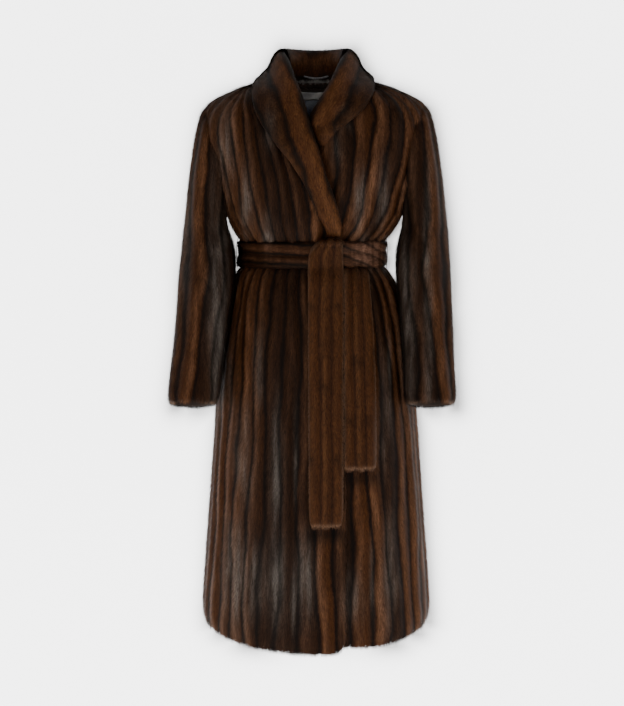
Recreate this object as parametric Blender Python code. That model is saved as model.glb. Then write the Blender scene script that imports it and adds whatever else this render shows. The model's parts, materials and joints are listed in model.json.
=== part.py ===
"""Long wrap coat in striped faux fur, hollow and filled out as if worn, with its belt tied.

Metres, +Z up. The front faces -Y and the wearer's left is +X. The origin is the point at the
height of the neck's base on which the coat hangs from the wearer's shoulders.

The body is one surface, worked out from rings: a ring at each level has a half width and a
depth in front and behind. An angle of 0 is the middle of the front, 90 degrees is the side on
+X and 180 degrees is the middle of the back. Each panel is a stretch of that surface with a
wall as thick as the fur, its pile included. Gathers are raised in the wall's outer points.
"""

import math
from collections import namedtuple

import bmesh
import bpy
import numpy as np
from mathutils import Vector
from mathutils.bvhtree import BVHTree

# Driving dimensions
SEAM_GAP = 0.0003  # between two pieces that are sewn together
FUR_WALL = 0.008  # hide, pile and lining of a panel
SLEEVE_WALL = 0.007
COLLAR_WALL = 0.010
BELT_WALL = 0.012
LINING_WALL = 0.0015
UNDERLAP = 0.0120  # how far inside the right front the left front lies where they lap
LAPEL_UNDERLAP = 0.0210  # the same where a lapel lies between them
LAPEL_LEVELS = (-0.150, -0.210)  # between these levels the second gives way to the first
SHOULDER_ROUND = 0.050  # height over which a panel rounds up to the shoulder seam
SHOULDER_FADE = 0.200  # below this depth the shoulder's slope no longer shows
SHOULDER_SEAM = 0.0016  # depth to which the seam parts front and back
UNDERARM = 0.250  # depth of the underarm below the neck
HEM = 1.062  # depth of the hem at the sides
HEM_DROP_FRONT = 0.037  # how much lower the hem is in the middle of the front
HEM_DROP_BACK = 0.012
HEM_DROP_FROM = 0.80  # depth at which the hem's drop starts
HEM_DROP_POWER = 1.2  # how fast it fades towards the sides
HEM_LIFT_LEFT = 0.013  # how much shorter the left front is at its free edge
HEM_LIFT_POWER = 8  # how fast that fades towards the side
BELT_LEVEL = -0.334
BELT_HALF_HEIGHT = 0.025
CROSS_IN = 0.003  # how far past the right front's edge the left front is still as low
CROSS_OUT = 0.040  # and where it has come up again

BodyRow = namedtuple("BodyRow", "level half_width shift front back")
BODY = (
    BodyRow(0.000, 0.232, 0.000, 0.088, 0.092),
    BodyRow(-0.060, 0.230, 0.000, 0.106, 0.106),
    BodyRow(-0.120, 0.215, 0.000, 0.121, 0.113),
    BodyRow(-0.180, 0.198, -0.001, 0.128, 0.114),
    BodyRow(-0.250, 0.176, -0.003, 0.126, 0.110),
    BodyRow(-0.280, 0.158, -0.005, 0.120, 0.104),
    BodyRow(-0.298, 0.145, -0.007, 0.112, 0.099),
    BodyRow(-0.312, 0.134, -0.008, 0.103, 0.092),
    BodyRow(-0.334, 0.130, -0.008, 0.100, 0.090),
    BodyRow(-0.356, 0.134, -0.008, 0.104, 0.094),
    BodyRow(-0.372, 0.147, -0.007, 0.113, 0.105),
    BodyRow(-0.400, 0.161, -0.004, 0.122, 0.117),
    BodyRow(-0.460, 0.175, -0.002, 0.134, 0.134),
    BodyRow(-0.540, 0.187, -0.001, 0.143, 0.147),
    BodyRow(-0.660, 0.1975, 0.000, 0.153, 0.157),
    BodyRow(-0.790, 0.207, 0.000, 0.163, 0.165),
    BodyRow(-0.920, 0.217, 0.000, 0.173, 0.172),
    BodyRow(-1.062, 0.2275, 0.000, 0.184, 0.180),
)

ShoulderRow = namedtuple("ShoulderRow", "out height")
SHOULDER = (
    ShoulderRow(0.000, 0.006),
    ShoulderRow(0.078, 0.006),
    ShoulderRow(0.113, 0.001),
    ShoulderRow(0.155, -0.011),
    ShoulderRow(0.182, -0.0226),
    ShoulderRow(0.204, -0.0344),
    ShoulderRow(0.224, -0.054),
)

# Where the armhole cuts a panel, as the panel's angle in degrees at each level, on each side
ArmholeRow = namedtuple("ArmholeRow", "level right left")
ARMHOLE = (
    ArmholeRow(0.000, 66.4, 65.2),
    ArmholeRow(-0.030, 66.0, 60.0),
    ArmholeRow(-0.070, 63.4, 55.0),
    ArmholeRow(-0.140, 63.2, 57.6),
    ArmholeRow(-0.190, 68.0, 64.5),
    ArmholeRow(-0.220, 73.0, 70.0),
    ArmholeRow(-0.240, 80.5, 79.0),
    ArmholeRow(-0.250, 90.0, 90.0),
)

# The free edge of each front, from the neck to where it runs straight down to the hem
EdgeRow = namedtuple("EdgeRow", "level right_front left_front")
EDGE = (
    EdgeRow(0.000, -0.078, 0.078),
    EdgeRow(-0.012, -0.074, 0.074),
    EdgeRow(-0.030, -0.064, 0.060),
    EdgeRow(-0.050, -0.052, 0.041),
    EdgeRow(-0.070, -0.040, 0.022),
    EdgeRow(-0.100, -0.026, -0.005),
    EdgeRow(-0.130, -0.013, -0.026),
    EdgeRow(-0.160, 0.001, -0.038),
    EdgeRow(-0.190, 0.015, -0.045),
    EdgeRow(-0.250, 0.038, -0.050),
    EdgeRow(-0.310, 0.050, -0.050),
    EdgeRow(-0.370, 0.053, -0.050),
    EdgeRow(-1.062, 0.053, -0.050),
)

# The back neckline: how far round the shoulder the back panel starts, at each angle
NECK_BACK_HALF_ANGLE = 19.6
NECK_BACK_ROUND = 38.0
NECK_BACK_FADE = (0.25, 1.05)  # shares of the half angle between which the neckline rises
NECK_BACK_REACH = 1.2  # how deep the rows under it move, in quarter turns of the shoulder

# Gathers, as shares of a panel's width from its free edge (or, on the back, from side to side)
Gather = namedtuple("Gather", "share height skirt_length bodice_length")
RIGHT_FRONT_GATHERS = (
    Gather(0.07, 0.0030, 0.30, 0.05),
    Gather(0.15, 0.0037, 0.42, 0.08),
    Gather(0.22, 0.0045, 0.30, 0.07),
    Gather(0.29, 0.0055, 0.34, 0.11),
    Gather(0.36, 0.0060, 0.52, 0.13),
    Gather(0.44, 0.0075, 0.66, 0.10),
    Gather(0.53, 0.0055, 0.36, 0.15),
    Gather(0.62, 0.0072, 0.58, 0.17),
    Gather(0.72, 0.0057, 0.40, 0.12),
    Gather(0.82, 0.0065, 0.64, 0.10),
    Gather(0.92, 0.0045, 0.34, 0.06),
)
LEFT_FRONT_GATHERS = (
    Gather(0.44, 0.0035, 0.30, 0.10),
    Gather(0.52, 0.0057, 0.46, 0.14),
    Gather(0.61, 0.0072, 0.62, 0.11),
    Gather(0.70, 0.0055, 0.36, 0.16),
    Gather(0.79, 0.0070, 0.66, 0.12),
    Gather(0.88, 0.0052, 0.42, 0.10),
    Gather(0.95, 0.0035, 0.28, 0.05),
)
LEFT_FRONT_PLAIN = (0.12, 0.24, 0.34)  # columns where it lies plain under the right front
BACK_GATHERS = (
    Gather(0.05, 0.0037, 0.30, 0.06),
    Gather(0.11, 0.0055, 0.52, 0.10),
    Gather(0.17, 0.0050, 0.34, 0.13),
    Gather(0.235, 0.0070, 0.66, 0.11),
    Gather(0.30, 0.0055, 0.40, 0.15),
    Gather(0.365, 0.0068, 0.58, 0.10),
    Gather(0.43, 0.0057, 0.36, 0.12),
    Gather(0.49, 0.0072, 0.70, 0.14),
    Gather(0.555, 0.0055, 0.34, 0.10),
    Gather(0.62, 0.0068, 0.56, 0.13),
    Gather(0.685, 0.0052, 0.38, 0.11),
    Gather(0.75, 0.0070, 0.64, 0.14),
    Gather(0.815, 0.0050, 0.36, 0.12),
    Gather(0.875, 0.0063, 0.54, 0.09),
    Gather(0.94, 0.0037, 0.30, 0.06),
)
GATHER_TROUGH = 0.35  # depth of the trough beside a gather, as a share of its height
GATHER_SHARPNESS = 4.0
FLATTENED = 0.18  # share of a gather's height that the belt leaves under it
BELT_PRESS = (0.9, 2.2)  # how far from the belt's level it presses the gathers, in its half heights

# Levels of the rows of points, as depths along the cloth from the shoulder seam
CAP_ANGLES = (1.0, 16.0, 34.0, 52.0, 71.0, 90.0)
CLOTH_ROWS = (
    -0.075, -0.105, -0.140, -0.175, -0.205, -0.228, -0.243, -0.250, -0.268, -0.286, -0.302,
    -0.316, -0.334, -0.352, -0.368, -0.384, -0.410, -0.450, -0.510, -0.590, -0.680, -0.780,
    -0.880, -0.960, -1.020, -HEM,
)
INNER_SKIPS = (-0.450, -0.590, -0.780, -0.960)

# Sleeves: level, then how far out the outer and inner outlines are on each side, how far
# forward the middle is, half the depth from front to back, and the tilt of the ring in degrees
SleeveRow = namedtuple("SleeveRow", "level right_out right_in left_out left_in forward half_depth tilt")
SLEEVE = (
    SleeveRow(-0.280, 0.2580, 0.1790, 0.2570, 0.1740, 0.012, 0.066, 0.0),
    SleeveRow(-0.325, 0.2630, 0.1630, 0.2600, 0.1615, 0.024, 0.067, 2.0),
    SleeveRow(-0.370, 0.2675, 0.1610, 0.2620, 0.1605, 0.037, 0.067, 4.0),
    SleeveRow(-0.415, 0.2715, 0.1660, 0.2640, 0.1645, 0.048, 0.066, 7.0),
    SleeveRow(-0.460, 0.2740, 0.1740, 0.2660, 0.1690, 0.058, 0.064, 10.0),
    SleeveRow(-0.505, 0.2780, 0.1810, 0.2680, 0.1720, 0.068, 0.061, 13.0),
    SleeveRow(-0.550, 0.2820, 0.1870, 0.2670, 0.1745, 0.080, 0.057, 15.0),
    SleeveRow(-0.590, 0.2860, 0.1905, 0.2690, 0.1750, 0.091, 0.054, 16.5),
    SleeveRow(-0.612, 0.2885, 0.1930, 0.2712, 0.1755, 0.096, 0.052, 17.0),
    SleeveRow(-0.622, 0.2880, 0.1938, 0.2710, 0.1760, 0.098, 0.051, 17.0),
)
SLEEVE_CAP = (0.0, 0.04, 0.12, 0.24, 0.38, 0.54, 0.70, 0.85)
CAP_OUT_POWER = 0.5  # how fast the cap's top bulges out past the shoulder seam
CAP_DEPTH_POWER = 0.75
NORMAL_PASSES = 3  # how often a sleeve's wall directions are smoothed

# Collar: from the end of the right lapel round the back neck to the end of the left lapel.
# The seam, the roll line and the leaf's free edge each have a place (x, y, z). The stand is 1
# where the fur stands up from the seam before it rolls over, and 0 where it lies flat.
CollarRow = namedtuple("CollarRow", "seam roll edge radius stand")
COLLAR = (
    CollarRow((0.036, -0.112, -0.290), (0.0450, -0.112, -0.288), (0.026, -0.114, -0.296), 0.005, 0.0),
    CollarRow((0.032, -0.118, -0.270), (0.0420, -0.118, -0.268), (0.016, -0.120, -0.277), 0.005, 0.0),
    CollarRow((0.025, -0.124, -0.242), (0.0355, -0.124, -0.240), (0.001, -0.126, -0.250), 0.005, 0.0),
    CollarRow((0.015, -0.128, -0.214), (0.0255, -0.128, -0.211), (-0.012, -0.129, -0.221), 0.006, 0.0),
    CollarRow((0.004, -0.130, -0.186), (0.014, -0.130, -0.180), (-0.026, -0.130, -0.190), 0.006, 0.0),
    CollarRow((0.002, -0.130, -0.160), (0.009, -0.130, -0.160), (-0.038, -0.130, -0.170), 0.006, 0.0),
    CollarRow((-0.006, -0.130, -0.130), (0.001, -0.130, -0.134), (-0.055, -0.130, -0.144), 0.007, 0.0),
    CollarRow((-0.018, -0.124, -0.100), (-0.009, -0.128, -0.105), (-0.077, -0.125, -0.120), 0.007, 0.05),
    CollarRow((-0.028, -0.112, -0.070), (-0.018, -0.122, -0.076), (-0.098, -0.105, -0.094), 0.009, 0.20),
    CollarRow((-0.041, -0.096, -0.044), (-0.027, -0.112, -0.045), (-0.113, -0.085, -0.064), 0.009, 0.55),
    CollarRow((-0.052, -0.076, -0.022), (-0.038, -0.097, -0.012), (-0.119, -0.058, -0.034), 0.008, 0.9),
    CollarRow((-0.062, -0.048, -0.006), (-0.050, -0.076, 0.022), (-0.117, -0.028, -0.008), 0.008, 1.0),
    CollarRow((-0.069, -0.020, 0.004), (-0.061, -0.044, 0.052), (-0.111, 0.008, 0.006), 0.008, 1.0),
    CollarRow((-0.066, 0.008, 0.008), (-0.064, -0.006, 0.064), (-0.108, 0.045, 0.006), 0.008, 1.0),
    CollarRow((-0.057, 0.034, 0.008), (-0.060, 0.032, 0.0685), (-0.097, 0.083, -0.002), 0.008, 1.0),
    CollarRow((-0.041, 0.052, 0.007), (-0.044, 0.058, 0.0700), (-0.068, 0.112, -0.010), 0.008, 1.0),
    CollarRow((-0.020, 0.061, 0.006), (-0.023, 0.071, 0.0702), (-0.034, 0.126, -0.015), 0.008, 1.0),
    CollarRow((-0.001, 0.063, 0.006), (-0.002, 0.074, 0.0702), (0.000, 0.129, -0.016), 0.008, 1.0),
    CollarRow((0.018, 0.061, 0.006), (0.019, 0.071, 0.0702), (0.034, 0.126, -0.015), 0.008, 1.0),
    CollarRow((0.039, 0.052, 0.007), (0.040, 0.058, 0.0700), (0.068, 0.112, -0.010), 0.008, 1.0),
    CollarRow((0.055, 0.034, 0.008), (0.056, 0.032, 0.0685), (0.096, 0.083, -0.002), 0.008, 1.0),
    CollarRow((0.064, 0.008, 0.008), (0.060, -0.006, 0.064), (0.106, 0.045, 0.006), 0.008, 1.0),
    CollarRow((0.067, -0.020, 0.004), (0.055, -0.044, 0.052), (0.108, 0.008, 0.006), 0.008, 1.0),
    CollarRow((0.062, -0.048, -0.006), (0.042, -0.076, 0.024), (0.110, -0.028, -0.008), 0.008, 1.0),
    CollarRow((0.049, -0.074, -0.022), (0.027, -0.097, -0.008), (0.107, -0.058, -0.032), 0.008, 0.9),
    CollarRow((0.031, -0.089, -0.042), (0.012, -0.106, -0.036), (0.088, -0.085, -0.056), 0.009, 0.55),
    CollarRow((0.013, -0.096, -0.062), (-0.003, -0.108, -0.060), (0.062, -0.098, -0.078), 0.009, 0.20),
    CollarRow((-0.002, -0.100, -0.082), (-0.012, -0.106, -0.082), (0.036, -0.106, -0.102), 0.006, 0.05),
    CollarRow((-0.006, -0.100, -0.096), (-0.013, -0.106, -0.096), (0.012, -0.104, -0.126), 0.005, 0.0),
)
STAND_POINTS = 7  # points of a section in its stand and roll
LEAF_POINTS = 4  # points of a section in its leaf
COLLAR_CLEAR = 0.0032  # between the collar and the panels under it
LEAF_CLEAR = 0.0042  # the same, at each point of the leaf's under side
COLLAR_RUN = 2  # rings of points for each row of the table
RISE_TURNS = (172, 145, 118)  # angles of points round the roll, from the stand to its top
FALL_TURNS = (90, 60, 30, 2)  # and from its top to the leaf
LEAF_SHARES = (0.25, 0.50, 0.75, 1.00)  # points down the leaf
LEAST_STAND = 0.02
LIES_FLAT = (0.15, 0.75)  # stand below which a section lies on the front, and above which it doesn't
SEAM_LEAN = 0.04  # how far forward of the neck's middle a section's front is taken from
COLLAR_EDGE_SHARE = 0.6  # thickness at the collar's edges, as a share of its wall
COLLAR_UNDER_SHARE = 0.5  # the same for the under side of its stand

# Belt round the waist: strands across its height, as shares of the height, with how far each
# stands out to the left and right of the knot
BELT_POINTS = 48
BELT_INSIDE = 0.0042  # from the waist to the belt's inner face
BELT_OUTSIDE = 0.0150  # from the waist to the belt's outer face, apart from its strands
STRANDS_TURN = (100.0, 260.0)  # angles between which the right side's strands become the left's
KNOT_TURN = (350.0, 360.0)  # and between which they change back under the knot
BELT_PLUMB = 0.4  # how far the belt's face keeps upright over the hollow of the waist
StrandRow = namedtuple("StrandRow", "share left_side right_side")
STRANDS = (
    StrandRow(-1.00, -0.0050, -0.0050),
    StrandRow(-0.72, 0.0010, 0.0004),
    StrandRow(-0.30, 0.0020, 0.0022),
    StrandRow(-0.02, -0.0032, 0.0012),
    StrandRow(0.22, 0.0012, -0.0034),
    StrandRow(0.50, -0.0026, 0.0014),
    StrandRow(0.80, 0.0010, 0.0016),
    StrandRow(1.00, -0.0050, -0.0046),
)

# Belt ends: level down the end, its left and right edges, and how far its back and front
# faces stand off what is behind them, which is the belt at the belt's own height and the
# fronts elsewhere. The long end hooks over the belt's upper edge.
EndRow = namedtuple("EndRow", "level left right back front")
LONG_END = (
    EndRow(-0.3025, 0.0240, 0.0430, 0.0080, 0.0200),
    EndRow(-0.3045, 0.0120, 0.0480, 0.0050, 0.0260),
    EndRow(-0.3084, 0.0020, 0.0500, 0.0045, 0.0290),
    EndRow(-0.3092, 0.0015, 0.0502, 0.0008, 0.0130),
    EndRow(-0.3180, -0.0080, 0.0506, 0.0008, 0.0130),
    EndRow(-0.3300, -0.0120, 0.0510, 0.0008, 0.0135),
    EndRow(-0.3450, -0.0138, 0.0512, 0.0008, 0.0130),
    EndRow(-0.3580, -0.0142, 0.0514, 0.0008, 0.0125),
    EndRow(-0.3740, -0.0143, 0.0515, 0.0090, 0.0225),
    EndRow(-0.4000, -0.0145, 0.0515, 0.0040, 0.0165),
    EndRow(-0.4500, -0.0145, 0.0518, 0.0020, 0.0140),
    EndRow(-0.5200, -0.0145, 0.0520, 0.0020, 0.0140),
    EndRow(-0.6000, -0.0140, 0.0522, 0.0020, 0.0140),
    EndRow(-0.6800, -0.0140, 0.0520, 0.0020, 0.0140),
    EndRow(-0.7600, -0.0135, 0.0515, 0.0020, 0.0140),
    EndRow(-0.8200, -0.0128, 0.0510, 0.0020, 0.0135),
    EndRow(-0.8440, -0.0110, 0.0490, 0.0020, 0.0120),
    EndRow(-0.8540, -0.0070, 0.0450, 0.0030, 0.0090),
)
SHORT_END = (
    EndRow(-0.3594, 0.0535, 0.1000, 0.0040, 0.0150),
    EndRow(-0.3800, 0.0535, 0.1020, 0.0030, 0.0150),
    EndRow(-0.4200, 0.0535, 0.1060, 0.0020, 0.0140),
    EndRow(-0.4800, 0.0538, 0.1100, 0.0020, 0.0140),
    EndRow(-0.5500, 0.0540, 0.1140, 0.0020, 0.0140),
    EndRow(-0.6300, 0.0542, 0.1155, 0.0020, 0.0140),
    EndRow(-0.7000, 0.0540, 0.1160, 0.0020, 0.0140),
    EndRow(-0.7360, 0.0540, 0.1155, 0.0020, 0.0130),
    EndRow(-0.7460, 0.0560, 0.1135, 0.0030, 0.0100),
)
END_ACROSS = 7  # points across a belt end
EDGE_SHARE = 0.45  # thickness of its edges as a share of its middle's
FRONT_REACH = 0.012  # how far round a point of it the fronts behind it are felt for
KNOT_REACH = 0.008  # the same over the belt

# Trims
LOOP_ROD = 0.0015
LOOP_HALF_HEIGHT = 0.033
LOOP_STAND_OFF = 0.006  # how far outside the belt a loop passes
LOOP_POWER = 0.3  # how soon it gets there
LOOP_POINTS = 11
LOOP_SEAT = 0.0002  # how far a loop's ends sink towards the seam, which is flat between rows
LABEL_SIZE = (0.062, 0.050)
LABEL_TOP = -0.020
LABEL_WALL = 0.001
LABEL_LIFT = 0.0012  # how far the label stands off the lining
HANGER_POINTS = 9
HANGER_HALF_WIDTH = 0.025
HANGER_LEVEL = 0.020
HANGER_ROD = 0.004
HANGER_BACK = 0.0525  # how far back the loop's ends are
HANGER_BOW = 0.004  # how much further forward its middle is
HANGER_SAG = 0.005
LINING_DEPTH = -0.140
LINING_LAST_ROW = 0.010  # least height of its last row of faces
LINING_SIDES = (0.14, 0.86)  # the stretch of the back panel that the lining covers

Finish = namedtuple("Finish", "colour roughness metallic")
FUR = Finish((0.090, 0.038, 0.015, 1.0), 0.55, 0.0)
SATIN = Finish((0.085, 0.080, 0.078, 1.0), 0.30, 0.0)
NAVY = Finish((0.012, 0.014, 0.020, 1.0), 0.45, 0.0)
THREAD = Finish((0.035, 0.020, 0.012, 1.0), 0.60, 0.0)


def smooth(places, values, at):
    """Monotone cubic through a table whose places run up or down."""
    places = np.asarray(places, float)
    values = np.asarray(values, float)
    if places[0] > places[-1]:
        places, values = places[::-1], values[::-1]
    at = np.clip(np.asarray(at, float), places[0], places[-1])
    step = np.diff(places)
    slope = np.diff(values) / step
    tangent = np.zeros(len(places))
    tangent[0], tangent[-1] = slope[0], slope[-1]
    before, after = slope[:-1], slope[1:]
    same_way = before * after > 0
    tangent[1:-1][same_way] = 2 * before[same_way] * after[same_way] / (before + after)[same_way]
    i = np.clip(np.searchsorted(places, at, side="right") - 1, 0, len(step) - 1)
    t = (at - places[i]) / step[i]
    rise = 3 * t**2 - 2 * t**3
    return (
        values[i] * (1 - rise)
        + values[i + 1] * rise
        + step[i] * (tangent[i] * (t - 2 * t**2 + t**3) + tangent[i + 1] * (t**3 - t**2))
    )


def column(rows, name):
    """One named column of a table."""
    return [getattr(row, name) for row in rows]


def ease(low, high, value):
    """0 at low, 1 at high, with soft ends."""
    t = np.clip((value - low) / (high - low), 0, 1)
    return t * t * (3 - 2 * t)


def cloth_level(cloth):
    """Height of a depth measured along the cloth, and how far round the shoulder it is."""
    quarter = SHOULDER_ROUND * math.pi / 2
    turn = np.clip(-cloth / quarter, 0, 1) * math.pi / 2
    round_level = -SHOULDER_ROUND * (1 - np.cos(turn))
    level = np.where(cloth > -quarter, round_level, cloth + quarter - SHOULDER_ROUND)
    return level, np.sin(turn)


def cloth_at(level):
    """The depth along the cloth of a height below the rounded shoulder."""
    return level - SHOULDER_ROUND * (math.pi / 2 - 1)


def shoulder_height(out):
    """Height of the shoulder seam above its level at a place across the coat."""
    return smooth(column(SHOULDER, "out"), column(SHOULDER, "height"), np.abs(out))


def body_point(angle, cloth):
    """Points of the body's plain surface at angles in degrees and depths along the cloth."""
    angle, cloth = np.broadcast_arrays(np.asarray(angle, float), np.asarray(cloth, float))
    level, cap = cloth_level(cloth)
    turn = np.radians(angle)
    levels = column(BODY, "level")
    front = smooth(levels, column(BODY, "front"), level)
    back = smooth(levels, column(BODY, "back"), level)
    x = smooth(levels, column(BODY, "shift"), level) + smooth(
        levels, column(BODY, "half_width"), level
    ) * np.sin(turn)
    y = -np.where(np.cos(turn) > 0, front, back) * np.cos(turn) * cap
    slope_left = 1 - ease(SHOULDER_ROUND, SHOULDER_FADE, -level)
    drop = np.where(np.cos(turn) > 0, HEM_DROP_FRONT, HEM_DROP_BACK) * np.abs(np.cos(turn)) ** HEM_DROP_POWER
    z = level + shoulder_height(x) * slope_left - drop * ease(HEM_DROP_FROM, HEM, -level)
    return np.stack([x, y, z], axis=-1)


def body_normal(angle, cloth):
    """Unit normals of the plain surface, pointing out of the coat."""
    turn_step, cloth_step = 0.5, 0.002
    along = body_point(angle + turn_step, cloth) - body_point(angle - turn_step, cloth)
    low = np.minimum(np.asarray(cloth, float), -cloth_step)
    down = body_point(angle, low - cloth_step) - body_point(angle, low + cloth_step)
    normal = np.cross(down, along)
    return normal / np.linalg.norm(normal, axis=-1, keepdims=True)


def side_angle(cloth, side):
    """Angle at which a panel ends on one side: the armhole above, the side seam below."""
    level, _ = cloth_level(np.asarray(cloth, float))
    angle = smooth(column(ARMHOLE, "level"), column(ARMHOLE, side), level)
    width = smooth(column(BODY, "level"), column(BODY, "half_width"), level)
    return angle - np.degrees(SEAM_GAP / 2 / width)


def edge_angle(cloth, edge):
    """Angle of a front's free edge."""
    level, _ = cloth_level(np.asarray(cloth, float))
    x = smooth(column(EDGE, "level"), column(EDGE, edge), level)
    levels = column(BODY, "level")
    shift = smooth(levels, column(BODY, "shift"), level)
    width = smooth(levels, column(BODY, "half_width"), level)
    return np.degrees(np.arcsin((x - shift) / width))


def gather_relief(gathers, share, cloth, spacing):
    """How far the gathers raise the fur, at shares of a panel's width."""
    level, _ = cloth_level(np.asarray(cloth, float))
    below = np.clip(BELT_LEVEL - level, 0, None)
    above = np.clip(level - BELT_LEVEL, 0, None)
    pressed = FLATTENED + (1 - FLATTENED) * ease(
        BELT_HALF_HEIGHT * BELT_PRESS[0], BELT_HALF_HEIGHT * BELT_PRESS[1], np.abs(level - BELT_LEVEL)
    )
    relief = np.zeros(np.broadcast(share, cloth).shape)
    for gather in gathers:
        across = (share - gather.share) / spacing
        beside = np.exp(-GATHER_SHARPNESS * (np.abs(across) - 1) ** 2)
        ridge = np.exp(-GATHER_SHARPNESS * across**2) - GATHER_TROUGH * beside
        length = np.where(
            level < BELT_LEVEL,
            np.exp(-((below / gather.skirt_length) ** 2)),
            np.exp(-((above / gather.bodice_length) ** 2)),
        )
        relief += gather.height * ridge * length
    return relief * pressed


def cloth_rows():
    """The rows of a panel from the shoulder seam to the hem, and those its inside leaves out."""
    quarter = SHOULDER_ROUND * math.pi / 2
    cap = [-quarter * angle / 90 for angle in CAP_ANGLES]
    rows = np.array(cap + [cloth_at(level) for level in CLOTH_ROWS])
    kept = [True] * len(cap) + [level not in INNER_SKIPS for level in CLOTH_ROWS]
    return rows, np.array(kept)


def shares_of(gathers, extra=()):
    """Shares of a panel's width with a column on each gather and one in each trough."""
    crests = sorted(column(gathers, "share") + list(extra))
    troughs = [(a + b) / 2 for a, b in zip(crests, crests[1:])]
    ends = [0.0, crests[0] / 2, (1 + crests[-1]) / 2, 1.0]
    return np.array(sorted(crests + troughs + ends))


def add_material(obj, name, finish):
    """Gives an object its plain material, made once for each name."""
    material = bpy.data.materials.get(name) or bpy.data.materials.new(name)
    material.use_nodes = True
    shader = material.node_tree.nodes["Principled BSDF"]
    shader.inputs["Base Color"].default_value = finish.colour
    shader.inputs["Roughness"].default_value = finish.roughness
    shader.inputs["Metallic"].default_value = finish.metallic
    obj.data.materials.append(material)


def add_object(name, mesh, finish_name, finish):
    """Puts a built mesh into the scene with its normals pointing out."""
    obj = bpy.data.objects.new(name, bpy.data.meshes.new(name))
    bmesh.ops.remove_doubles(mesh, verts=mesh.verts, dist=0.000001)
    bmesh.ops.recalc_face_normals(mesh, faces=mesh.faces)
    mesh.to_mesh(obj.data)
    mesh.free()
    obj.data.shade_smooth()
    obj.data.set_sharp_from_angle(angle=math.radians(50))
    bpy.context.scene.collection.objects.link(obj)
    add_material(obj, finish_name, finish)
    return obj


def add_grid(mesh, points):
    """Adds a grid of points and its faces, and returns its vertices as rows."""
    rows = [[mesh.verts.new(point) for point in row] for row in points]
    for upper, lower in zip(rows, rows[1:]):
        for a, b, c, d in zip(upper, upper[1:], lower[1:], lower):
            mesh.faces.new((a, b, c, d))
    return rows


def zip_edges(mesh, first, second):
    """Closes the strip between two runs of points that may differ in number."""
    i = j = 0
    while i < len(first) - 1 or j < len(second) - 1:
        step_first = step_second = math.inf
        if i < len(first) - 1:
            step_first = (first[i + 1].co - second[j].co).length
        if j < len(second) - 1:
            step_second = (first[i].co - second[j + 1].co).length
        if step_first <= step_second:
            mesh.faces.new((first[i], first[i + 1], second[j]))
            i += 1
        else:
            mesh.faces.new((first[i], second[j + 1], second[j]))
            j += 1


def wall_between(outer, inner):
    """A closed wall between two grids that share their corners' places round the edge."""
    mesh = bmesh.new()
    out = add_grid(mesh, outer)
    into = add_grid(mesh, inner)
    zip_edges(mesh, out[0], into[0])
    zip_edges(mesh, out[-1], into[-1])
    zip_edges(mesh, [row[0] for row in out], [row[0] for row in into])
    zip_edges(mesh, [row[-1] for row in out], [row[-1] for row in into])
    return mesh


def tube_wall(outer, inner):
    """A closed wall between two open tubes, given as rings of points."""
    mesh = bmesh.new()
    out = [[mesh.verts.new(p) for p in ring] for ring in outer]
    into = [[mesh.verts.new(p) for p in ring] for ring in inner]
    for rings in (out, into):
        for upper, lower in zip(rings, rings[1:]):
            for i, corner in enumerate(upper):
                after = (i + 1) % len(upper)
                mesh.faces.new((corner, upper[after], lower[after], lower[i]))
    for end in (0, -1):
        for i, corner in enumerate(out[end]):
            after = (i + 1) % len(out[end])
            mesh.faces.new((corner, out[end][after], into[end][after], into[end][i]))
    return mesh


def swept(sections, ring=False):
    """A closed body through sections that are closed loops with the same number of points."""
    mesh = bmesh.new()
    rings = [[mesh.verts.new(p) for p in section] for section in sections]
    for upper, lower in zip(rings, rings[1:] + rings[:1] if ring else rings[1:]):
        for i, corner in enumerate(upper):
            after = (i + 1) % len(upper)
            mesh.faces.new((corner, upper[after], lower[after], lower[i]))
    for end in () if ring else (rings[0], rings[-1]):
        for i in range(len(end) // 2 - 1):
            mesh.faces.new((end[i], end[i + 1], end[-2 - i], end[-1 - i]))
    return mesh


def underlap(points, cloth):
    """How far the left front dips under the right front's edge, at each of its points."""
    level, _ = cloth_level(cloth)
    right_edge = smooth(column(EDGE, "level"), column(EDGE, "right_front"), level)
    amount = LAPEL_UNDERLAP + (UNDERLAP - LAPEL_UNDERLAP) * ease(
        -LAPEL_LEVELS[0], -LAPEL_LEVELS[1], -level
    )
    return amount * (1 - ease(CROSS_IN, CROSS_OUT, points[..., 0] - right_edge))


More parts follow.
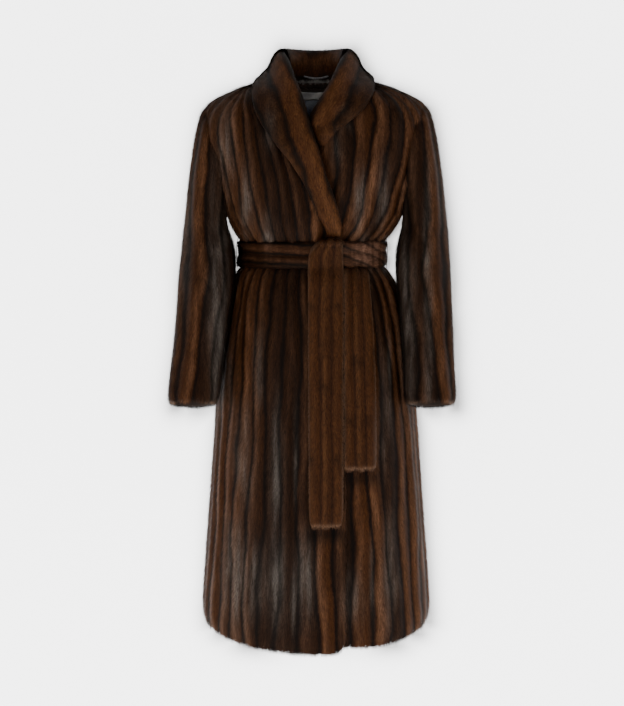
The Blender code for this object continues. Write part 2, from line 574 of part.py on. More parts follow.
class Panel:
    """One panel of the body: its columns, its edges and its gathers."""

    def __init__(self, name, gathers, shares):
        self.name, self.gathers, self.shares = name, gathers, shares
        self.spacing = float(np.mean(np.diff(sorted(column(gathers, "share")))))

    def angles(self, share, cloth):
        """Angles round the body at shares of the panel's width."""
        if self.name == "right_front":
            edge, side = edge_angle(cloth, "right_front"), -side_angle(cloth, "right")
        elif self.name == "left_front":
            edge, side = edge_angle(cloth, "left_front"), side_angle(cloth, "left")
        else:
            edge, side = self.back_edges(cloth)
        return edge + (side - edge) * share

    @staticmethod
    def back_edges(cloth):
        """Angles of the back's two side edges."""
        return 180 - side_angle(cloth, "left"), 180 + side_angle(cloth, "right")

    def start(self, share, cloth):
        """Cloth depth with the top edge moved down to the back neckline."""
        if self.name != "back":
            return cloth
        from_middle = np.abs(self.angles(share, cloth) - 180)
        neck = 1 - ease(*NECK_BACK_FADE, from_middle / NECK_BACK_HALF_ANGLE)
        quarter = SHOULDER_ROUND * math.pi / 2
        top = -quarter * NECK_BACK_ROUND / 90 * neck
        reach = -quarter * NECK_BACK_REACH
        return np.where(cloth > reach, top + (cloth * (reach - top) / reach), cloth)

    def surface(self, share, cloth, depth=0.0, relief=True):
        """Points of the panel at a depth inside its outer surface."""
        share, cloth = np.broadcast_arrays(np.asarray(share, float), np.asarray(cloth, float))
        cloth = self.start(share, cloth)
        angle = self.angles(share, cloth)
        plain = body_point(angle, cloth)
        move = np.full(share.shape, -float(depth))
        if relief:
            move = move + gather_relief(self.gathers, share, cloth, self.spacing)
        if self.name == "left_front":
            move = move - underlap(plain, cloth)
        gap = np.where(cloth > -SHOULDER_SEAM, SEAM_GAP / 2, 0.0)
        moved = plain + body_normal(angle, cloth) * move[..., None]
        if self.name == "left_front":
            lift = HEM_LIFT_LEFT * np.cos(np.radians(angle)) ** HEM_LIFT_POWER
            moved[..., 2] += lift * ease(HEM_DROP_FROM, HEM, -plain[..., 2])
        moved[..., 1] += np.where(np.cos(np.radians(angle)) > 0, -gap, gap)
        return moved


def make_panel(panel):
    """Adds a panel and returns its outer points."""
    rows, kept = cloth_rows()
    outer = panel.surface(panel.shares[None, :], rows[:, None])
    coarse = np.append(panel.shares[:-1:2], 1.0)
    inner = panel.surface(coarse[None, :], rows[kept][:, None], FUR_WALL, relief=False)
    add_object(panel.name, wall_between(outer, inner), "fur", FUR)
    return outer


def sleeve_ring(row, side, turn):
    """Points round a sleeve at one row of its table. A turn of 0 is the outer side."""
    out, into = getattr(row, side + "_out"), getattr(row, side + "_in")
    sign = -1 if side == "right" else 1
    x = sign * ((out + into) / 2 + (out - into) / 2 * np.cos(turn))
    y = -row.forward - row.half_depth * np.sin(turn)
    z = row.level - math.tan(math.radians(row.tilt)) * (y + row.forward)
    return np.stack([x, y, z], axis=-1)


def armhole_rows():
    """Cloth depths of the panels' rows from the shoulder seam to the underarm."""
    rows, _ = cloth_rows()
    return rows[rows > cloth_at(-UNDERARM) - 0.0001]


def armhole(side, fronts, back):
    """The armhole's edge where a sleeve is sewn in, point for point the panels' own rows."""
    cloth = armhole_rows()
    at_front = fronts[side].surface(1.0, cloth)
    at_back = back.surface(0.0 if side == "left" else 1.0, cloth)
    top, under = (at_front[0] + at_back[0]) / 2, (at_front[-1] + at_back[-1]) / 2
    ring = np.concatenate([[top], at_front[1:-1], [under], at_back[-2:0:-1]])
    ring[:, 0] += (-1 if side == "right" else 1) * SEAM_GAP * 2
    return ring


def sleeve_turns():
    """Angles round a sleeve that go with the rows of its armhole, from the top by the front."""
    cloth = armhole_rows()
    turn = np.arccos(1 - 2 * np.clip((cloth - cloth[0]) / (cloth[-1] - cloth[0]), 0, 1))
    return np.concatenate([turn, 2 * math.pi - turn[-2:0:-1]])


def sleeve_surface(side, fronts, back, wall):
    """Rings of a sleeve's outer and inner faces from the armhole to the cuff."""
    turn = sleeve_turns()
    start = armhole(side, fronts, back)
    first = sleeve_ring(SLEEVE[0], side, turn)
    rings = []
    for share in SLEEVE_CAP:
        mix = np.array([share**CAP_OUT_POWER, share**CAP_DEPTH_POWER, share])
        rings.append(start * (1 - mix) + first * mix)
    rings += [sleeve_ring(row, side, turn) for row in SLEEVE]
    outer = np.array(rings)
    around = np.roll(outer, -1, axis=1) - np.roll(outer, 1, axis=1)
    down = np.gradient(outer, axis=0)
    normal = np.cross(around, down)
    normal /= np.linalg.norm(normal, axis=-1, keepdims=True)
    middle = outer.mean(axis=1, keepdims=True)
    if np.sum((outer - middle) * normal) < 0:
        normal = -normal
    sewn = normal[:2].copy()
    for _ in range(NORMAL_PASSES):
        beside = np.roll(normal, 1, axis=1) + np.roll(normal, -1, axis=1)
        padded = np.concatenate([normal[:1], normal, normal[-1:]])
        normal = 2 * normal + beside + padded[:-2] + padded[2:]
        normal /= np.linalg.norm(normal, axis=-1, keepdims=True)
        normal[:2] = sewn
    return outer, outer - normal * wall


def make_sleeve(side, fronts, back):
    """Adds one sleeve, open at the armhole and the cuff."""
    outer, inner = sleeve_surface(side, fronts, back, SLEEVE_WALL)
    add_object("sleeve_" + side, tube_wall(outer, inner), "fur", FUR)


def tree_of(grids):
    """A search tree over the outer faces of the panels."""
    points, faces = [], []
    for grid in grids:
        start, across = len(points), grid.shape[1]
        points += [Vector(p) for p in grid.reshape(-1, 3)]
        for i in range(grid.shape[0] - 1):
            for j in range(across - 1):
                a = start + i * across + j
                faces.append((a, a + 1, a + across + 1, a + across))
    return BVHTree.FromPolygons(points, faces)


def lifted(point, tree, clearance):
    """A point moved out until it stands clear of the panels under it."""
    place, normal, _, _ = tree.find_nearest(Vector(point))
    if normal.dot(place - Vector((0, 0, place.z))) < 0:
        normal = -normal
    above = (Vector(point) - place).dot(normal)
    if above >= clearance:
        return np.array(point)
    return np.array(Vector(point) + normal * (clearance - above))


def solid_tree(names):
    """A search tree over whole solids, their inner faces and edges too."""
    points, faces = [], []
    for name in names:
        mesh = bpy.data.objects[name].data
        start = len(points)
        points += [vertex.co.copy() for vertex in mesh.vertices]
        faces += [[start + i for i in polygon.vertices] for polygon in mesh.polygons]
    return BVHTree.FromPolygons(points, faces)


def apart(point, tree, clearance):
    """A point moved straight away from the nearest solid until it is clear of it."""
    here = Vector(point)
    for _ in range(4):
        place, normal, _, distance = tree.find_nearest(here)
        if distance >= clearance:
            break
        inside = (here - place).dot(normal) < 0
        away = normal if inside or distance < 0.0001 else (here - place).normalized()
        here = place + away * clearance
    return np.array(here)


def collar_lines():
    """The collar's seam, roll line, free edge, radius of roll and stand, ring by ring."""
    places = np.arange(len(COLLAR), dtype=float)
    at = np.linspace(0, len(COLLAR) - 1, COLLAR_RUN * (len(COLLAR) - 1) + 1)

    def line(name):
        table = np.array(column(COLLAR, name))
        return np.stack([smooth(places, table[:, i], at) for i in range(3)], axis=-1)

    radius = smooth(places, column(COLLAR, "radius"), at)
    stand = smooth(places, column(COLLAR, "stand"), at)
    return line("seam"), line("roll"), line("edge"), radius, stand


def unit(vector):
    """The vector at a length of 1."""
    return vector / np.linalg.norm(vector)


def without(vector, *directions):
    """A unit vector with what runs along some unit directions taken out of it."""
    for direction in directions:
        vector = vector - np.dot(vector, direction) * direction
    return unit(vector)


def collar_section(lines, along, front):
    """The middle line of the fur across the collar, from the seam over the roll to the edge.

    The stand is cut back from its seam as it gives way to the lapel, which lies on the front.
    """
    seam, roll, edge, radius, stand = lines
    up = without(unit(roll - seam) * stand + unit(roll - edge), along)
    leaf = edge - roll
    across = leaf - np.dot(leaf, up) * up
    out = without(across * stand / np.linalg.norm(across) + front * (1 - stand), along, up)
    centre = roll - up * radius
    turns = np.radians(RISE_TURNS + FALL_TURNS)
    arc = [centre + radius * (np.cos(turn) * out + np.sin(turn) * up) for turn in turns]
    rise = [seam, (seam + arc[0]) / 2]
    fall = [arc[-1] + (edge - arc[-1]) * share for share in LEAF_SHARES]
    line = np.array(rise + arc + fall)
    length = np.concatenate([[0], np.cumsum(np.linalg.norm(np.diff(line, axis=0), axis=1))])
    top = length[len(rise) + len(RISE_TURNS)]
    start, turned = top * (1 - stand), length[len(rise) + len(arc) - 1]
    rolled = np.concatenate([np.linspace(start, top, STAND_POINTS - 2), [(top + turned) / 2, turned]])
    flat = np.linspace(start, turned, STAND_POINTS)
    fall_at = np.linspace(turned, length[-1], LEAF_POINTS + 1)[1:]
    at = np.concatenate([rolled * stand + flat * (1 - stand), fall_at])
    return np.stack([np.interp(at, length, line[:, i]) for i in range(3)], axis=-1)


def grid_normals(grid, passes):
    """Unit normals of a grid of points, evened out over their neighbours."""
    normal = np.cross(np.gradient(grid, axis=0), np.gradient(grid, axis=1))
    normal /= np.linalg.norm(normal, axis=-1, keepdims=True)
    for _ in range(passes):
        rows = np.concatenate([normal[:1], normal, normal[-1:]])
        normal = 2 * normal + rows[:-2] + rows[2:]
        normal /= np.linalg.norm(normal, axis=-1, keepdims=True)
    return normal


def make_collar(right_tree, left_tree):
    """Adds the shawl collar, which lies on the fronts as a lapel and stands round the neck."""
    seam, roll, edge, radius, stand = collar_lines()
    along = np.gradient(roll, axis=0)
    solids = solid_tree(("right_front", "left_front", "back"))
    clearance = COLLAR_WALL / 2 + COLLAR_CLEAR
    grid = []
    for i, lean in enumerate(along):
        front = unit(roll[i] * (1, 1, 0) - (0, SEAM_LEAN, 0))
        tree = right_tree if i < len(along) / 2 else left_tree
        raised = lifted(roll[i], tree, clearance) - roll[i]
        rolled = roll[i] + raised * (1 - stand[i])
        lines = seam[i], rolled, edge[i], radius[i], max(stand[i], LEAST_STAND)
        line = collar_section(lines, unit(lean), front)
        lies = 1 - ease(*LIES_FLAT, stand[i])
        for j in range(len(line)):
            line[j] += (lifted(line[j], tree, clearance) - line[j]) * (lies if j < STAND_POINTS else 1)
        grid.append([apart(point, solids, clearance) for point in line])
    grid = np.array(grid)
    normal = grid_normals(grid, NORMAL_PASSES)
    if normal[len(grid) // 2, 2, 1] > 0:  # at the back of the neck the fur faces forward
        normal = -normal
    half = np.full(grid.shape[:2], COLLAR_WALL / 2)
    for end in (np.s_[:, 0], np.s_[:, -1], np.s_[0], np.s_[-1]):
        half[end] *= COLLAR_EDGE_SHARE
    fur = grid + normal * half[..., None]
    half[:, :STAND_POINTS] *= COLLAR_UNDER_SHARE
    under = grid - normal * half[..., None]
    for i, row in enumerate(under):
        tree = right_tree if i < len(under) / 2 else left_tree
        lies = 1 - ease(*LIES_FLAT, stand[i])
        for j in range(len(row)):
            row[j] += (lifted(row[j], tree, LEAF_CLEAR) - row[j]) * (lies if j < STAND_POINTS else 1)
    add_object("collar", wall_between(fur, under[:, ::2]), "fur", FUR)


def belt_face(angle, shares, off):
    """Points up the belt at one angle, each a distance off the plain waist under it."""
    level = BELT_LEVEL + shares * BELT_HALF_HEIGHT
    place = body_point(angle, cloth_at(level))
    normal = body_normal(angle, cloth_at(level))
    normal[:, 2] = 0
    normal /= np.linalg.norm(normal, axis=-1, keepdims=True)
    return place + normal * np.broadcast_to(off, shares.shape)[:, None]


def make_belt_waist():
    """Adds the belt round the waist, one closed ring bunched into strands."""
    shares, left, right = (np.array(column(STRANDS, name)) for name in StrandRow._fields)
    waist = cloth_at(BELT_LEVEL)
    loops = []
    for angle in np.linspace(0, 360, BELT_POINTS, endpoint=False):
        to_left = ease(*STRANDS_TURN, angle) * (1 - ease(*KNOT_TURN, angle))
        stand = (1 - to_left) * right + to_left * left
        hollow = belt_face(angle, shares, 0.0) - body_point(angle, np.full(len(shares), waist))
        plumb = belt_face(angle, shares, BELT_OUTSIDE + stand)
        plumb[:, :2] -= hollow[:, :2] * BELT_PLUMB
        inner = belt_face(angle, shares, BELT_INSIDE)
        loops.append(np.concatenate([plumb, inner[::-1]]))
    add_object("belt_waist", swept(loops, ring=True), "fur", FUR)


def front_face(tree, out, level, reach):
    """How far forward a surface comes near a place, so that nothing hung there cuts in."""
    found = []
    for x in np.linspace(out - reach / 2, out + reach / 2, 5):
        for z in np.linspace(level - reach, level + reach, 3):
            place, _, _, _ = tree.ray_cast(Vector((x, -1.0, z)), Vector((0, 1, 0)))
            if place is not None:
                found.append(place.y)
    return min(found)


def make_belt_end(name, rows, fronts, belt):
    """A belt end that hangs from the belt down the fronts."""
    across = np.linspace(-1, 1, END_ACROSS)
    crown = np.sqrt(np.clip(1 - across**4, 0, 1))
    loops = []
    for row in rows:
        on_belt = abs(row.level - BELT_LEVEL) < BELT_HALF_HEIGHT
        behind, reach = (belt, KNOT_REACH) if on_belt else (fronts, FRONT_REACH)
        x = (row.left + row.right) / 2 + (row.right - row.left) / 2 * across
        lie = np.array([front_face(behind, out, row.level, reach) for out in x])
        back_y = lie - row.back
        front_y = back_y - (row.front - row.back) * (EDGE_SHARE + (1 - EDGE_SHARE) * crown)
        level = np.full(len(x), row.level)
        face, rear = np.stack([x, front_y, level], -1), np.stack([x, back_y, level], -1)
        loops.append(np.concatenate([face, rear[::-1]]))
    add_object(name, swept(loops), "fur", FUR)


def make_rod(name, points, radius, finish_name, finish):
    """A thin round cord through points."""
    curve = bpy.data.curves.new(name, "CURVE")
    curve.dimensions = "3D"
    curve.bevel_depth = radius
    curve.bevel_resolution = 1
    curve.use_fill_caps = True
    spline = curve.splines.new("POLY")
    spline.points.add(len(points) - 1)
    for point, place in zip(spline.points, points):
        point.co = (*place, 1.0)
    obj = bpy.data.objects.new(name, curve)
    bpy.context.scene.collection.objects.link(obj)
    add_material(obj, finish_name, finish)


def make_belt_loop(side):
    """A thread loop at the side seam, round the outside of the belt."""
    sign = -1 if side == "right" else 1
    places = []
    for turn in np.radians(np.linspace(0, 180, LOOP_POINTS)):
        level = BELT_LEVEL + LOOP_HALF_HEIGHT * math.cos(turn)
        cloth = cloth_at(level)
        at = body_point(90.0 * sign, cloth)
        waist = body_point(90.0 * sign, cloth_at(BELT_LEVEL))
        end_out = abs(at[0]) + LOOP_ROD / 2 - LOOP_SEAT
        belt_out = abs(waist[0]) + BELT_OUTSIDE + LOOP_STAND_OFF
        out = end_out + (belt_out - end_out) * math.sin(turn) ** LOOP_POWER
        places.append((sign * out, 0.0, level))
    make_rod("belt_loop_" + side, places, LOOP_ROD / 2, "thread", THREAD)


def make_back_lining(back):
    """Adds the lining that shows inside the back neck."""
    rows, kept = cloth_rows()
    lowest = cloth_at(LINING_DEPTH)
    rows = rows[kept]
    rows = np.append(rows[rows > lowest + LINING_LAST_ROW], lowest)
    coarse = np.append(back.shares[:-1:2], 1.0)
    across = coarse[(coarse > LINING_SIDES[0]) & (coarse < LINING_SIDES[1])]
    depth = FUR_WALL + SEAM_GAP
    outer = back.surface(across[None, :], rows[:, None], depth, relief=False)
    inner = back.surface(across[None, :], rows[:, None], depth + LINING_WALL, relief=False)
    add_object("back_lining", wall_between(outer, inner), "satin", SATIN)


def make_label(back):
    """The neck label, from the lining's points moved in."""
    width, height = LABEL_SIZE
    levels = np.linspace(LABEL_TOP, LABEL_TOP - height, 3)
    depth = FUR_WALL + LINING_WALL + 2 * SEAM_GAP + LABEL_LIFT
    faces = []
    for more in (0.0, LABEL_WALL):
        grid = []
        for level in levels:
            cloth = cloth_at(level)
            half_turn = math.degrees(math.asin(width / 2 / BODY[1].half_width))
            angles = np.linspace(180 - half_turn, 180 + half_turn, 3)
            plain = body_point(angles, np.full(3, cloth))
            grid.append(plain - body_normal(angles, np.full(3, cloth)) * (depth + more))
        faces.append(np.array(grid))
    add_object("label", wall_between(*faces), "navy", NAVY)


def make_hanger_loop():
    """The hanger loop on the collar's inside, just above the seam with the lining."""
    places = []
    for across in np.linspace(-1, 1, HANGER_POINTS):
        sag = 1 - across**2
        y = HANGER_BACK - HANGER_BOW * sag
        places.append((HANGER_HALF_WIDTH * across, y, HANGER_LEVEL - HANGER_SAG * sag))
    make_rod("hanger_loop", places, HANGER_ROD / 2, "thread", THREAD)


def main():
    """Clears the scene and adds every piece, each fitted to those under it."""
    for obj in list(bpy.data.objects):
        bpy.data.objects.remove(obj)
    right = Panel("right_front", RIGHT_FRONT_GATHERS, shares_of(RIGHT_FRONT_GATHERS))
    left = Panel("left_front", LEFT_FRONT_GATHERS, shares_of(LEFT_FRONT_GATHERS, LEFT_FRONT_PLAIN))
    back = Panel("back", BACK_GATHERS, shares_of(BACK_GATHERS))
    right_grid, left_grid, back_grid = (make_panel(panel) for panel in (right, left, back))
    fronts = {"right": right, "left": left}
    for side in ("right", "left"):
        make_sleeve(side, fronts, back)
    make_collar(tree_of([right_grid, back_grid]), tree_of([left_grid, back_grid]))
    fronts_tree = tree_of([right_grid, left_grid])
    make_belt_waist()
    belt_tree = solid_tree(["belt_waist"])
    make_belt_end("belt_end_long", LONG_END, fronts_tree, belt_tree)
    make_belt_end("belt_end_short", SHORT_END, fronts_tree, belt_tree)
    for side in ("right", "left"):
        make_belt_loop(side)
    make_back_lining(back)
    make_label(back)
    make_hanger_loop()


main()
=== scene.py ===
"""A long wrap coat of pelt-striped fur with its belt tied, worn by nobody, on a pale studio set.

Every skin is a rounded copy of the solid that it stands for, with its pelts raised in soft
ridges. It carries the pelts' places, the lie of the fur, and painted sheen, rim light and
shade as attributes, and blades of fur grow from it in a Geometry Nodes tree. All sizes are in
metres, with +Z up and the coat's front towards -Y.
"""

import json
import logging
import math
from collections.abc import Callable
from dataclasses import dataclass, field
from enum import Enum

import bmesh
import bpy
import numpy as np
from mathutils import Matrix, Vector
from mathutils.bvhtree import BVHTree

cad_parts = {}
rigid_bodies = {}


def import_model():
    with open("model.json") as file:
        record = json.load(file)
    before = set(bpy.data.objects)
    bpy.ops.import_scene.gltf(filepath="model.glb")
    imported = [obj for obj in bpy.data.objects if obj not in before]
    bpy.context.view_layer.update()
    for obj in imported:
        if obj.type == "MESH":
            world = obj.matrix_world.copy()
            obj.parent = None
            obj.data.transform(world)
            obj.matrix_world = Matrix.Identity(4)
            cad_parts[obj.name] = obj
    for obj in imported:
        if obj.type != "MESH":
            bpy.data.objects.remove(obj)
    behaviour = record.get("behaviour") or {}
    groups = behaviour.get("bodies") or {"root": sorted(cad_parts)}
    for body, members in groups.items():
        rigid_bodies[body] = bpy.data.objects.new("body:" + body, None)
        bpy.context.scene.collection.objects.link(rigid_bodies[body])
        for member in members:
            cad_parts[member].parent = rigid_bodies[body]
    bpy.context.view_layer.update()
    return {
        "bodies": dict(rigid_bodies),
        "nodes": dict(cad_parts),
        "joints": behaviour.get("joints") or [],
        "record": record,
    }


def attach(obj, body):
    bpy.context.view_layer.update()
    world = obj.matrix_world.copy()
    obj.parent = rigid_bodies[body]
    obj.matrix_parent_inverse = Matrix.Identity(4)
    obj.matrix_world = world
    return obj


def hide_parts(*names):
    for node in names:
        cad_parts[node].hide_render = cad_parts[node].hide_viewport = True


LOG = logging.getLogger("coat")
BODY = "root"
DOWN = np.array((0.0, 0.0, -1.0))
COVERED_WITHIN = 0.010  # a face with another piece this near in front of it grows no fur
LAYOUT_EDGE = 0.02  # margin of each fur piece's own layout
LAYOUT_BLADE = (0.0, 0.0009, -0.0009)  # how far a blade's corners are apart in it, across
LAYOUT_BLADE_LENGTH = 0.006
ROUNDING = 2  # how often the faces of a solid's copy are split

Colour = tuple[float, float, float]


def linear(red: float, green: float, blue: float) -> Colour:
    """The linear colour of an 8-bit one."""
    return tuple(
        v / 3294.6 if v <= 10 else ((v / 255 + 0.055) / 1.055) ** 2.4 for v in (red, green, blue)
    )


class Wear(Enum):
    """What a piece of fur looks like."""

    COAT = "coat"
    COLLAR = "collar"
    BELT = "belt"
    BELT_END = "belt_end"


@dataclass(frozen=True)
class FurFinish:
    """The colours of one kind of fur, from its deepest groove to its painted highlights, sheen and
    rim light.
    """

    groove: Colour
    body: Colour
    ridge: Colour
    # painted sheen: the guard hairs' shine painted in as a pale grey colour
    painted_sheen: Colour
    rim: Colour
    contrast: float = 1.0  # how much one pelt differs from the next
    roughness: float = 0.58


@dataclass(frozen=True)
class ClothFinish:
    """A plain woven or twisted cloth."""

    colour: Colour
    light: Colour
    roughness: float
    grain: tuple[float, float, float]
    bump: float = 0.15


FUR_FINISHES = {
    Wear.COAT: FurFinish(
        groove=linear(9, 4, 2),
        body=linear(51, 27, 9),
        ridge=linear(86, 57, 38),
        painted_sheen=linear(80, 74, 68),
        rim=linear(94, 72, 56),
    ),
    Wear.COLLAR: FurFinish(
        groove=linear(20, 10, 4),
        body=linear(60, 33, 13),
        ridge=linear(76, 47, 25),
        painted_sheen=linear(70, 62, 55),
        rim=linear(80, 60, 44),
        contrast=0.25,
    ),
    Wear.BELT: FurFinish(
        groove=linear(8, 4, 1),
        body=linear(45, 24, 9),
        ridge=linear(73, 46, 29),
        painted_sheen=linear(101, 73, 58),
        rim=linear(94, 70, 56),
        contrast=0.6,
    ),
    Wear.BELT_END: FurFinish(
        groove=linear(35, 18, 7),
        body=linear(52, 28, 11),
        ridge=linear(66, 40, 20),
        painted_sheen=linear(58, 50, 44),
        rim=linear(84, 62, 46),
        contrast=0.25,
    ),
}
INSIDE = linear(34, 28, 24)
SATIN = ClothFinish(linear(96, 94, 92), linear(186, 180, 174), 0.32, (26.0, 26.0, 3.0), 0.35)
NAVY = ClothFinish(linear(26, 32, 46), linear(44, 50, 66), 0.55, (400.0, 400.0, 900.0), 0.10)
CORD = ClothFinish(linear(34, 32, 34), linear(120, 116, 116), 0.40, (700.0, 260.0, 260.0), 0.40)
THREAD = ClothFinish(linear(58, 38, 26), linear(110, 80, 60), 0.60, (500.0, 500.0, 900.0), 0.40)
PAPER = 0.42
PAPER_GLOW = 3.85  # what the backdrop gives off by itself


# Shaders


class Term:
    """A number in a shader, which can be used in sums."""

    def __init__(self, shader: "Shader", socket: bpy.types.NodeSocket) -> None:
        """What that socket of the shader gives."""
        self.shader = shader
        self.socket = socket

    def math(self, operation: str, *others: "Term | float") -> "Term":
        """One Math node on this term and the others."""
        return self.shader.math(operation, self, *others)

    def __add__(self, other: "Term | float") -> "Term":
        """self + other."""
        return self.shader.math("ADD", self, other)

    def __radd__(self, other: float) -> "Term":
        """other + self."""
        return self.shader.math("ADD", other, self)

    def __sub__(self, other: "Term | float") -> "Term":
        """self - other."""
        return self.shader.math("SUBTRACT", self, other)

    def __rsub__(self, other: float) -> "Term":
        """other - self."""
        return self.shader.math("SUBTRACT", other, self)

    def __mul__(self, other: "Term | float") -> "Term":
        """self * other."""
        return self.shader.math("MULTIPLY", self, other)

    def __rmul__(self, other: float) -> "Term":
        """other * self."""
        return self.shader.math("MULTIPLY", other, self)

    def ease(self, low: float, high: float) -> "Term":
        """0 below low, 1 above high, and smooth in between."""
        values = {"Value": self, "From Min": low, "From Max": high}
        settings = {"interpolation_type": "SMOOTHSTEP"}
        return Term(self.shader, self.shader.output("ShaderNodeMapRange", settings, values))

    def band(self, low: float, rise: float, fall: float, high: float) -> "Term":
        """1 between rise and fall, 0 outside low and high, and smooth in between."""
        return self.ease(low, rise) * (1.0 - self.ease(fall, high))


class Nodes:
    """A tree of nodes that is being built."""

    tree: bpy.types.NodeTree

    def node(
        self, kind: str, settings: dict | None = None, values: dict | None = None
    ) -> bpy.types.Node:
        """A node of that kind.

        Args:
            kind: The node's type.
            settings: Its properties, which are set first.
            values: What goes into its inputs, by their name or place.

        Returns:
            The node.
        """
        node = self.tree.nodes.new(kind)
        for name, setting in (settings or {}).items():
            setattr(node, name, setting)
        for place, value in (values or {}).items():
            given = value.socket if isinstance(value, Term) else value
            if isinstance(given, bpy.types.NodeSocket):
                self.tree.links.new(given, node.inputs[place])
            else:
                node.inputs[place].default_value = given
        return node

    def output(
        self, kind: str, settings: dict | None = None, values: dict | None = None
    ) -> bpy.types.NodeSocket:
        """The first output of a new node."""
        return self.node(kind, settings, values).outputs[0]


class Shader(Nodes):
    """A material that is being built."""

    def __init__(self, name: str) -> None:
        """An empty material of that name."""
        self.material = bpy.data.materials.new(name)
        self.material.use_nodes = True
        self.tree = self.material.node_tree
        self.tree.nodes.clear()

    def math(self, operation: str, *terms: Term | float) -> Term:
        """One Math node on up to three terms."""
        values = dict(enumerate(terms))
        return Term(self, self.output("ShaderNodeMath", {"operation": operation}, values))

    def attribute(self, name: str) -> Term:
        """A number that the mesh carries."""
        return Term(self, self.node("ShaderNodeAttribute", {"attribute_name": name}).outputs["Fac"])

    def chance(self, term: Term) -> Term:
        """A random number that depends on the term alone."""
        settings = {"noise_dimensions": "1D"}
        return Term(self, self.output("ShaderNodeTexWhiteNoise", settings, {"W": term}))

    def noise(self, scale: tuple[float, float, float], detail: float = 2.0) -> Term:
        """Noise over the object's own coordinates.

        Args:
            scale: How often it repeats in a metre along each axis.
            detail: How many finer layers it has.

        Returns:
            The noise, from 0 to 1.
        """
        place = self.node("ShaderNodeTexCoord").outputs["Object"]
        settings = {"operation": "MULTIPLY"}
        scaled = self.output("ShaderNodeVectorMath", settings, {0: place, 1: scale})
        values = {"Vector": scaled, "Scale": 1.0, "Detail": detail}
        return Term(self, self.node("ShaderNodeTexNoise", values=values).outputs["Fac"])

    def mix(self, share: Term | float, first: object, second: object) -> bpy.types.NodeSocket:
        """The first colour with that share of the second."""
        colours = [c if isinstance(c, bpy.types.NodeSocket) else (*c, 1.0) for c in (first, second)]
        values = {0: share, 6: colours[0], 7: colours[1]}
        settings = {"data_type": "RGBA", "clamp_factor": True}
        return self.node("ShaderNodeMix", settings, values).outputs[2]

    def scaled(self, colour: bpy.types.NodeSocket, factor: Term) -> bpy.types.NodeSocket:
        """The colour times a number."""
        settings = {"operation": "SCALE"}
        return self.output("ShaderNodeVectorMath", settings, {0: colour, "Scale": factor})

    def bump(self, height: Term, strength: float, distance: float) -> bpy.types.NodeSocket:
        """A normal from a height."""
        values = {"Strength": strength, "Distance": distance, "Height": height}
        return self.output("ShaderNodeBump", values=values)

    def finish(self, constants: dict[str, float], varying: dict[str, object]) -> bpy.types.Material:
        """The Principled surface of the material.

        Args:
            constants: Numbers for its inputs.
            varying: What drives its other inputs.

        Returns:
            The finished material.
        """
        surface = self.output("ShaderNodeBsdfPrincipled", values={**constants, **varying})
        self.node("ShaderNodeOutputMaterial", values={"Surface": surface})
        return self.material


# Noise over the furs: how often it repeats in a metre along each axis
STRAY_NOISE = (38.0, 38.0, 16.0)
BROAD_NOISE = (7.0, 7.0, 5.0)
STREAK_NOISE = (85.0, 85.0, 9.0)
STRAND_NOISE = (520.0, 520.0, 60.0)
STRAY = 0.24  # how far a pelt's edges stray with it, as a share of its width
# Across a pelt: where its ridge and the painted highlight on its lit flank start, are full, fade
# and end
RIDGE_BAND = (0.0, 0.22, 0.76, 1.0)
LIT_BAND = (0.12, 0.30, 0.38, 0.66)
DEEPEST = 0.92  # how much of the colour is lost where no light gets in
FUR_SPECULAR = 0.04


def fur_material(name: str, finish: FurFinish) -> bpy.types.Material:
    """Fur with pelts, painted highlights, sheen, rim light and shade and, on the inside, its
    lining.

    Args:
        name: The material's name.
        finish: Its colours.

    Returns:
        The material, which reads the attributes that Skin and Fur write.
    """
    shader = Shader(name)
    pelt, tip, shade, deep = (shader.attribute(n) for n in ("pelt", "tip", "shade", "deep"))
    place = pelt + (shader.noise(STRAY_NOISE) - 0.5) * STRAY
    across = place.math("FRACT")
    own, other = (shader.chance(place.math("FLOOR") + shift) for shift in (0.0, 17.3))
    broad = shader.noise(BROAD_NOISE, 3.0).ease(0.32, 0.66)
    streaks = shader.noise(STREAK_NOISE, 3.0).ease(0.34, 0.68)
    strands = shader.noise(STRAND_NOISE)

    ridge = across.band(*RIDGE_BAND)
    tone = 1.0 - finish.contrast * (1.0 - own.ease(0.05, 0.65)) * 0.72
    level = ridge * tone * (0.62 + 0.25 * broad + 0.25 * streaks)
    colour = shader.mix(level, finish.groove, finish.body)
    # Painted highlight on each pelt's lit flank
    lit = across.band(*LIT_BAND) * (0.35 + 0.65 * other)
    colour = shader.mix(lit * tone * (0.35 + 0.80 * streaks), colour, finish.ridge)
    # Painted sheen: the guard hairs' shine painted in as a pale grey colour
    painted_sheen = shader.attribute("sheen") * (0.25 + 0.75 * streaks) * (0.35 + 0.65 * ridge)
    colour = shader.mix(painted_sheen, colour, finish.painted_sheen)
    # Painted rim light, brighter towards the hairs' tips
    colour = shader.mix(shader.attribute("rim") * (0.40 + 0.50 * tip), colour, finish.rim)
    light = (0.44 + 0.74 * tip.ease(0.1, 1.0)) * (0.60 + 0.80 * shade) * (0.55 + 0.90 * strands)
    colour = shader.scaled(colour, light * (1.0 - DEEPEST * deep))
    inside = shader.attribute("inside").ease(0.4, 0.6)
    colour = shader.mix(inside, colour, INSIDE)
    satin = shader.mix(streaks, SATIN.colour, SATIN.light)
    colour = shader.mix(shader.attribute("satin"), colour, satin)
    constants = {"Roughness": finish.roughness, "Specular IOR Level": FUR_SPECULAR}
    return shader.finish(constants, {"Base Color": colour})


def cloth_material(name: str, finish: ClothFinish) -> bpy.types.Material:
    """Satin, tape, cord or thread.

    Args:
        name: The material's name.
        finish: Its colours and grain.

    Returns:
        The material.
    """
    shader = Shader(name)
    grain = shader.noise(finish.grain, 3.0)
    colour = shader.mix(grain.ease(0.35, 0.75), finish.colour, finish.light)
    normal = shader.bump(grain, finish.bump, 0.002)
    constants = {"Roughness": finish.roughness, "Sheen Weight": 0.1}
    return shader.finish(constants, {"Base Color": colour, "Normal": normal})


# Where fur lies


